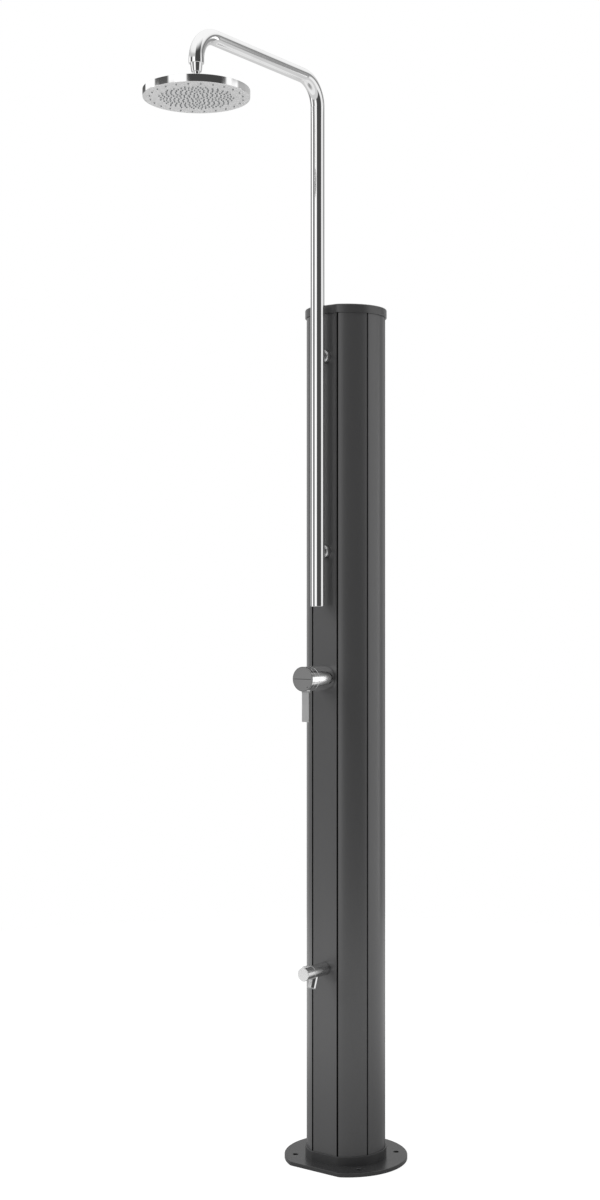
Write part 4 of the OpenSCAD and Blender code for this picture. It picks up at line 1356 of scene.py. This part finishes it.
@dataclass
class Mixer:
    """The mixer's lever and the disc on its front."""

    hub_at: float = 0.1281
    disc_at: float = 0.1401
    front: float = 0.1489
    bar_half: float = 0.0085
    bar_end: float = 0.085
    bar_thickness: float = 0.006
    bar_corner: float = 0.0012
    bar_edge: float = 0.0004
    fillet: float = 0.010

    def build(self) -> None:
        """Makes the lever and the disc."""
        self._lever()
        self._disc()

    def _lever(self) -> None:
        """Makes the hub and the hanging bar."""
        reach = self.bar_half + self.fillet
        drop = math.sqrt((DISC_RADIUS + self.fillet) ** 2 - reach**2)
        sweep = math.degrees(math.atan2(drop, reach))
        bar = Workpiece()
        foot, rise = bar.wire([(self.bar_half, -self.bar_end, 0), (self.bar_half, -drop, 0)])
        hub_start = bar.arc(rise, (reach, -drop, 0), -sweep, 6)
        hub_end = bar.arc(hub_start, (0, 0, 0), 180 + 2 * sweep, 72)
        fall = bar.arc(hub_end, (-reach, -drop, 0), -sweep, 6)
        tip = bar.wire([(-self.bar_half, -self.bar_end, 0)])[0]
        bar.bm.edges.new((fall, tip))
        bar.bm.edges.new((tip, foot))
        bar.soften([tip, foot], self.bar_corner)
        bar.thicken(self.bar_thickness)
        for level in (0.0, self.bar_thickness):
            bar.bevel_level(level, self.bar_edge, 3)
        bar.move(0, 0, self.disc_at - self.bar_thickness)
        back = self.hub_at - self.bar_edge
        bar.combine(puck(DISC_RADIUS, back, self.disc_at - 0.003, (0.0002, 0.0)), "UNION")
        past = self.disc_at + PAST
        stem = (0.00505, self.hub_at - 0.002, self.hub_at + 0.005)
        bar.combine(stepped(stem, (SCREW, self.hub_at, past), (0.0047, self.hub_at + 0.007, past)))
        bar.place(facing(MIXER_Z))
        bar.finished("lever", BAR_STEEL, "mixer_lever", Body.LEVER)

    def _disc(self) -> None:
        """Makes the disc on the front of the lever, with its level line and its dot."""
        back, past = self.disc_at + 0.00005, self.front + PAST
        disc = puck(DISC_RADIUS, back, self.front, (0.0002, 0.0005), 128)
        low = self.front - 0.0004
        size = Matrix.Diagonal((2 * LEVEL_HALF, 0.001, past - low, 1))
        marks = Workpiece()
        line_at = Matrix.Translation((0, 0, (low + past) / 2))
        bmesh.ops.create_cube(marks.bm, size=1.0, matrix=line_at @ size)
        dot = Workpiece().rod(0.0013, self.front - 0.0006, past, steps=32)
        disc.combine(marks.join(dot.move(*DOT_AT, 0)))
        disc.place(facing(MIXER_Z))
        disc.finished("mixer_disc", DIAL_STEEL, "mixer_cap", Body.LEVER)


class Dressing:
    """The finishes of the CAD nodes that stay."""

    FINISHES: dict[Finish, tuple[str, ...]] = {
        SCREW_STEEL: (
            "base_screws", "cap_screws", "lever_screw", "tap_grub_screw", "standoff_grub_screws",
        ),
        SEAL_RUBBER: (
            "cap_seal", "tank_pad", "tank_spacers", "inlet_gasket", "mixer_gasket", "tap_gasket",
            "standoff_gaskets", "head_seal",
        ),
        TANK_ALUMINIUM: (
            "tank_shelf", "shelf_posts", "tank_bottom_end", "tank_shell", "tank_top_end",
        ),
        BRASS: (
            "inlet_nipple", "inlet_backnut", "inlet_tee", "hose_nuts", "mixer_backnut",
            "mixer_nipples", "cartridge_nut", "mixer_stem", "tap_backnut", "tap_tee",
            "tap_cartridge", "tap_stem", "standoff_backnuts", "outlet_elbow",
        ),
        HOSE_BRAID: ("feed_hose", "tap_hose", "cold_hose", "hot_hose", "outlet_hose"),
        ACETAL: ("mixer_cartridge", "ball_liner"),
        TURNED_STEEL: ("mixer_body",),
        TAP_STEEL: ("tap_body", "tap_knob"),
        SPOUT_STEEL: ("tap_spout", "riser_plug"),
        SCREEN_PLASTIC: ("tap_aerator",),
    }

    @classmethod
    def apply(cls, nodes: dict[str, bpy.types.Object]) -> None:
        """Puts each finish on its nodes.

        Args:
            nodes: The CAD nodes by name.
        """
        for finish, names in cls.FINISHES.items():
            for name in names:
                materials = nodes[name].data.materials
                materials.clear()
                materials.append(finish.material())
                LOG.info("%s: %s", name, finish.name)


# What reflections show round the post, as grey levels: panels near eye level and above it, by
# the turn, which is 0.5 towards the camera, and the ceiling, by height.
LOW_PANELS = (
    (0.000, 0.62), (0.096, 0.62), (0.108, 0.24), (0.203, 0.24), (0.215, 1.40),
    (0.262, 1.40), (0.274, 0.22), (0.338, 0.22), (0.350, 0.36), (0.372, 0.36),
    (0.386, 1.12), (0.452, 1.12), (0.474, 0.07), (0.662, 0.06), (0.680, 0.92),
    (0.775, 0.92), (0.785, 0.31), (0.864, 0.31), (0.880, 0.55), (1.000, 0.62),
)
HIGH_PANELS = (
    (0.000, 0.09), (0.116, 0.09), (0.130, 1.20), (0.226, 1.20), (0.240, 0.09),
    (0.330, 0.09), (0.345, 1.20), (0.446, 1.20), (0.458, 0.06), (0.686, 0.06),
    (0.700, 1.20), (0.778, 1.20), (0.794, 0.50), (1.000, 0.50),
)
CEILING = ((0.30, 0.55), (0.44, 0.60), (0.54, 0.92), (0.75, 1.0))


@dataclass
class Studio:
    """A plain pale studio: a floor, a soft sky, two soft lamps and the camera.

    Attributes:
        floor_gap: How far the floor lies below the plate, so that the two don't mix.
        floor_levels: How bright reflections show the floor by the post, with its painted shadow,
            and far from it.
        floor_near: Distances between which it goes from one to the other.
        floor_glow: How bright the camera sees the floor, apart from its shadows.
        floor_white: Share of that glow in what the camera sees.
        floor_dim: Share of floor_levels in what reflections show.
    """

    floor_radius: float = 2.6
    floor_gap: float = 0.0003
    floor_levels: Point = (0.32, 0.90)
    floor_near: Point = (0.30, 1.30)
    floor_glow: float = 1.2
    floor_white: float = 0.78
    floor_dim: float = 0.85
    camera_at: tuple[float, float, float] = (1.9682, -2.8263, 1.1315)
    camera_turn: float = 36.41
    lens: float = 50.67
    shift: float = 0.0014
    diffuse_level: float = 0.50

    def build(self) -> None:
        """Makes the studio."""
        self._floor()
        self._sky()
        self._lamp("lamp_left", (-3.0, -2.6, 3.0), 3.0, 150)
        self._lamp("lamp_right", (3.4, 0.6, 2.4), 2.4, 16)
        self._camera()

    def _floor(self) -> None:
        """Makes the floor, which is white with the post's shadow, and clear from below."""
        floor = Workpiece()
        bmesh.ops.create_circle(floor.bm, cap_ends=True, segments=96, radius=self.floor_radius)
        mesh = floor.move(0, 0, -self.floor_gap).mesh("floor")
        material = bpy.data.materials.new("floor")
        material.use_nodes = True
        shader = Shader(material.node_tree)
        near, far, glow = (
            shader.value("ShaderNodeEmission", inputs={"Color": WHITE, "Strength": level})
            for level in (*self.floor_levels, self.floor_glow)
        )
        # Painted shadow: reflections see the floor dimmer near the post, as the post's shadow on
        # it.
        x, y, _ = shader.parts()
        dim = shader.mix((x * x + y * y).root().between(*self.floor_near), near, far)
        matt = shader.value("ShaderNodeBsdfDiffuse", inputs={"Color": grey(0.74)})
        seen, shiny = shader.rays()
        unseen = shader.mix(shiny * self.floor_dim, matt, dim)
        above = shader.mix(seen * self.floor_white, unseen, glow)
        clear = shader.value("ShaderNodeBsdfTransparent", inputs={"Color": WHITE})
        below = shader.value("ShaderNodeNewGeometry", output="Backfacing")
        surface = shader.mix(below, above, clear)
        shader.node("ShaderNodeOutputMaterial", inputs={"Surface": surface})
        mesh.materials.append(material)
        linked("floor", mesh)

    def _sky(self) -> None:
        """Makes the surroundings: white to the camera, even light, and panels in reflections."""
        world = bpy.data.worlds.new("studio")
        bpy.context.scene.world = world
        world.use_nodes = True
        shader = Shader(world.node_tree)
        x, y, z = shader.parts(shader.value("ShaderNodeTexCoord", output="Generated"))
        turn = (x.angle_from(y * -1.0) / math.tau + (1.5 - self.camera_turn / 360)).fraction()
        low, high = (shader.ramp(turn, stops) for stops in (LOW_PANELS, HIGH_PANELS))
        room = shader.blend(low, high, z.between(0.276, 0.290))
        # A narrow window, brighter than the panels.
        window = (turn - 0.804).size().within(0.009, 0.013)
        window = window * (z + 0.05).size().within(0.14, 0.28)
        room = shader.blend(room, grey(1.8), window)
        # The ceiling, which begins higher over the dark panel beside the camera.
        tall = (turn - 0.567).size().within(0.09, 0.12)
        up = z.between(0.31, 0.38) * (1.0 - tall) + z.between(0.50, 0.90) * tall
        room = shader.blend(room, shader.ramp(z, CEILING), up)
        # A dark beam above the window, and the pale ground.
        beam = (turn - 0.80).size().within(0.05, 0.08)
        beam = beam * z.between(0.292, 0.306) * z.within(0.38, 0.46)
        room = shader.blend(room, grey(0.19), beam)
        room = shader.blend(room, grey(0.66), (z * -1.0).between(0.22, 0.34))
        plain, mirrored, white = (
            shader.value("ShaderNodeBackground", inputs={"Color": colour, "Strength": level})
            for colour, level in ((WHITE, self.diffuse_level), (room, 1.0), (WHITE, 1.0))
        )
        seen, shiny = shader.rays()
        surroundings = shader.mix(seen, shader.mix(shiny, plain, mirrored), white)
        shader.node("ShaderNodeOutputWorld", inputs={"Surface": surroundings})

    @staticmethod
    def _lamp(name: str, place: Triple, size: float, power: float) -> None:
        """Makes one soft lamp that isn't seen in reflections and points at the post's middle.

        Args:
            name: The lamp's name.
            place: Where it stands.
            size: Its side.
            power: Its power in watts.
        """
        lamp = bpy.data.lights.new(name, "AREA")
        lamp.size = size
        lamp.energy = power
        obj = linked(name, lamp)
        obj.location = place
        way = Vector((0, 0, 1.0)) - Vector(place)
        obj.rotation_euler = way.to_track_quat("-Z", "Y").to_euler()
        obj.visible_glossy = False
        obj.visible_camera = False

    def _camera(self) -> None:
        """Makes the camera at the photograph's place."""
        data = bpy.data.cameras.new("camera")
        data.lens = self.lens
        data.shift_y = self.shift
        camera = linked("camera", data)
        camera.location = self.camera_at
        camera.rotation_euler = (QUARTER, 0, math.radians(self.camera_turn))
        bpy.context.scene.camera = camera
        bpy.context.scene.view_settings.view_transform = "Standard"


def main() -> None:
    """Builds the post's pieces in order."""
    logging.basicConfig(level=logging.INFO, format="%(name)s %(message)s")
    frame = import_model()
    Dressing.apply(frame["nodes"])
    for assembly in (Base(), Column(), Riser(), Standoffs(), Head(), Mixer()):
        assembly.build()
        LOG.info("%s done", type(assembly).__name__)
    Studio().build()


if __name__ == "__main__":
    main()
